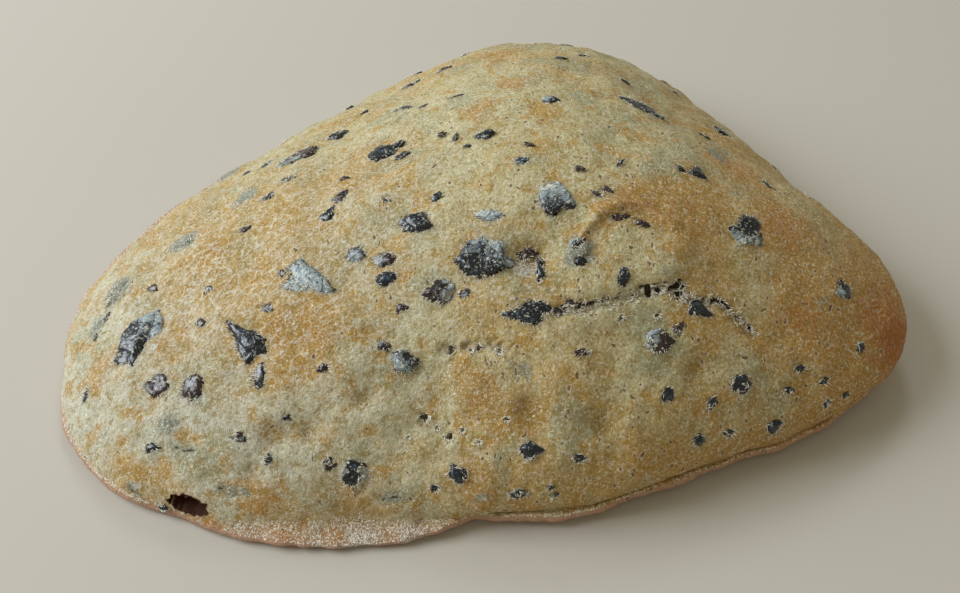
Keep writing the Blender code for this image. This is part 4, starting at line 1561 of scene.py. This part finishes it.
def add_seam_threads(bm, places, half_width, draw):
    """Threads of torn crumb that bridge a seam, most of them straight across it."""
    line = to_frame(along(places))
    length = np.linalg.norm(np.diff(line, axis=0), axis=1).sum()
    for _ in range(round(SEAM_THREADS * length)):
        i = draw.randrange(1, len(line) - 1)
        ahead = line[i + 1] - line[i - 1]
        across = Vector((-ahead[1], ahead[0], 0)).normalized()
        spot = Vector(line[i]) + across * draw.gauss(0, half_width * SEAM_SPREAD)
        if noise.noise(spot / SEAM_CLUMPS) < SEAM_BARE:
            continue
        point, normal, _, _ = bare_crust().find_nearest(spot)
        thick = draw.uniform(*SEAM_THICKNESS)
        size = (draw.uniform(*SEAM_LENGTH), thick, thick)
        part = lump(CRUMB_DETAIL, size, THREAD_UNEVEN, draw.uniform(*CRUMB_SHAPES))
        turn = math.degrees(math.atan2(across.y, across.x)) + draw.gauss(0, SEAM_STRAY)
        part.transform(lie_on(point, normal, turn, -thick * draw.uniform(*SEAM_LIFT)))
        join(bm, part)


class BREAD_OT_threads(Operator):
    """Draw torn threads of crumb over the edges of the olives and across the open seams"""

    bl_idname = "bread.threads"
    bl_label = "Crumb threads"

    def execute(self, context):
        settings = context.scene.bread_crumb
        draw = random.Random(THREAD_SEED)
        crust = finished_crust()
        open_mark = crust.verts.layers.float["open"]
        bm = bmesh.new()
        for edge in crust.edges:
            shut, opened = sorted(edge.verts, key=lambda vert: vert[open_mark])
            if shut[open_mark] or not opened[open_mark] or draw.random() > settings.threads:
                continue
            heading = opened.co - shut.co
            heading -= heading.dot(shut.normal) * shut.normal
            if heading.length < THREAD_LEAST or shut.normal.z < 0:
                continue
            length = draw.uniform(*THREAD_LENGTH)
            thick = draw.uniform(*THREAD_THICKNESS)
            part = lump(CRUMB_DETAIL, (length, thick, thick), THREAD_UNEVEN, draw.uniform(*CRUMB_SHAPES))
            turn = math.degrees(math.atan2(heading.y, heading.x)) + draw.gauss(0, THREAD_STRAY)
            start = shut.co + heading.normalized() * length * draw.uniform(*THREAD_OVER)
            part.transform(lie_on(start, shut.normal, turn, -thick * THREAD_LIFT))
            join(bm, part)
        crust.free()
        for places, half_width, height in LINES:
            if height < WIDE_TORN_BELOW:
                add_seam_threads(bm, places, half_width, draw)
        finish = plain_finish("torn_wheat_crumb", settings.crumb, 0.9, 0.5)
        add_piece("crumb_threads", bm, finish, ())
        return {"FINISHED"}


class BREAD_OT_flour(Operator):
    """Dust the rim of the bottom crust with grains of flour"""

    bl_idname = "bread.flour"
    bl_label = "Flour"

    def execute(self, context):
        settings = context.scene.bread_crumb
        crust = surface_of(finished_crust())
        draw = random.Random(FLOUR_SEED)
        widest = max(row[2] for row in PLAN)
        bm = bmesh.new()
        bubble = to_frame([BUBBLE_MIDDLE])[0]
        grains = 0
        while grains < settings.grains:
            angle = np.array([draw.uniform(-math.pi, math.pi)])
            _, lip_radius, _, lip_top = rim(angle)
            if draw.random() > FLOUR_LEAST + max(0, lip(angle)[0]) / widest:
                continue
            grains += 1
            wide = FLOUR_REACH * max(FLOUR_LEAST, lip(angle)[0] / widest)
            radius = lip_radius - abs(draw.gauss(0, wide))
            guess = to_frame(ring_at(angle, radius, lip_top))[0]
            point, normal, _, _ = crust.find_nearest(Vector(guess))
            if point.z < GRAIN_LEAST_HEIGHT or math.dist(point, bubble) < BUBBLE_SIZE[0]:
                continue
            size = draw.uniform(*GRAIN_SIZE)
            sizes = [size * share for share in GRAIN_SHAPE]
            part = lump(CRUMB_DETAIL, sizes, GRAIN_UNEVEN, draw.uniform(*CRUMB_SHAPES))
            part.transform(lie_on(point, normal, draw.uniform(0, 180), size * GRAIN_SUNK))
            join(bm, part)
        finish = plain_finish("wheat_flour", settings.flour, 0.95, 0.6)
        add_piece("flour_grains", bm, finish, ())
        return {"FINISHED"}


class BREAD_OT_stage(Operator):
    """Set the floor, the soft window light and the photograph's camera"""

    bl_idname = "bread.stage"
    bl_label = "Stage"

    def execute(self, context):
        settings = context.scene.bread_stage
        bm = bmesh.new()
        bmesh.ops.create_grid(bm, x_segments=2, y_segments=2, size=FLOOR_HALF)
        mesh = bpy.data.meshes.new("floor")
        bm.to_mesh(mesh)
        bm.free()
        mesh.materials.append(plain_finish("matt_floor_paint", settings.floor, 0.9, 400, 0.04))
        floor = bpy.data.objects.new("floor", mesh)
        context.scene.collection.objects.link(floor)
        for name, power, (size, spot) in (
            ("window", settings.power, WINDOW),
            ("glint", settings.glint, GLINT),
        ):
            lamp = bpy.data.lights.new(name, "AREA")
            lamp.energy = power
            lamp.size = size
            lamp.color = LAMP_COLOUR
            soft = bpy.data.objects.new(name, lamp)
            soft.location = spot
            soft.rotation_euler = (-soft.location).to_track_quat("-Z", "Y").to_euler()
            context.scene.collection.objects.link(soft)
        world = bpy.data.worlds.new("room")
        world.use_nodes = True
        backdrop = world.node_tree.nodes["Background"]
        backdrop.inputs["Color"].default_value = ROOM_COLOUR
        backdrop.inputs["Strength"].default_value = settings.fill
        context.scene.world = world
        context.scene.view_settings.view_transform = "Standard"
        camera = bpy.data.cameras.new("camera")
        camera.lens, camera.sensor_width = LENS, SENSOR
        camera.clip_start = NEAREST_SEEN
        eye = bpy.data.objects.new("camera", camera)
        eye.matrix_world = camera_matrix()
        eye.location *= MM
        context.scene.collection.objects.link(eye)
        context.scene.camera = eye
        return {"FINISHED"}


class BREAD_PT_panel(Panel):
    """Lists the pieces of the bread and their settings"""

    bl_idname = "BREAD_PT_panel"
    bl_label = "Olive Bread"
    bl_space_type = "VIEW_3D"
    bl_region_type = "UI"
    bl_category = "Olive Bread"

    def draw(self, context):
        for made in OPERATORS:
            self.layout.operator(made.bl_idname)
        for name in SETTINGS:
            group = getattr(context.scene, name)
            for prop in group.bl_rna.properties:
                if prop.identifier not in ("rna_type", "name"):
                    self.layout.prop(group, prop.identifier)


SETTINGS = {
    "bread_crust": CrustSettings,
    "bread_olives": OliveSettings,
    "bread_crumb": CrumbSettings,
    "bread_stage": StageSettings,
}
OPERATORS = (
    BREAD_OT_crust,
    BREAD_OT_olives,
    BREAD_OT_chips,
    BREAD_OT_threads,
    BREAD_OT_flour,
    BREAD_OT_stage,
)


def register():
    for made in (*SETTINGS.values(), *OPERATORS, BREAD_PT_panel):
        bpy.utils.register_class(made)
    for name, group in SETTINGS.items():
        setattr(bpy.types.Scene, name, PointerProperty(type=group))


def unregister():
    for name in SETTINGS:
        delattr(bpy.types.Scene, name)
    for made in (BREAD_PT_panel, *reversed(OPERATORS), *SETTINGS.values()):
        bpy.utils.unregister_class(made)


def main():
    register()
    for made in OPERATORS:
        area, action = made.bl_idname.split(".")
        getattr(getattr(bpy.ops, area), action)()
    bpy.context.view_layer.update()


if __name__ == "__main__":
    main()
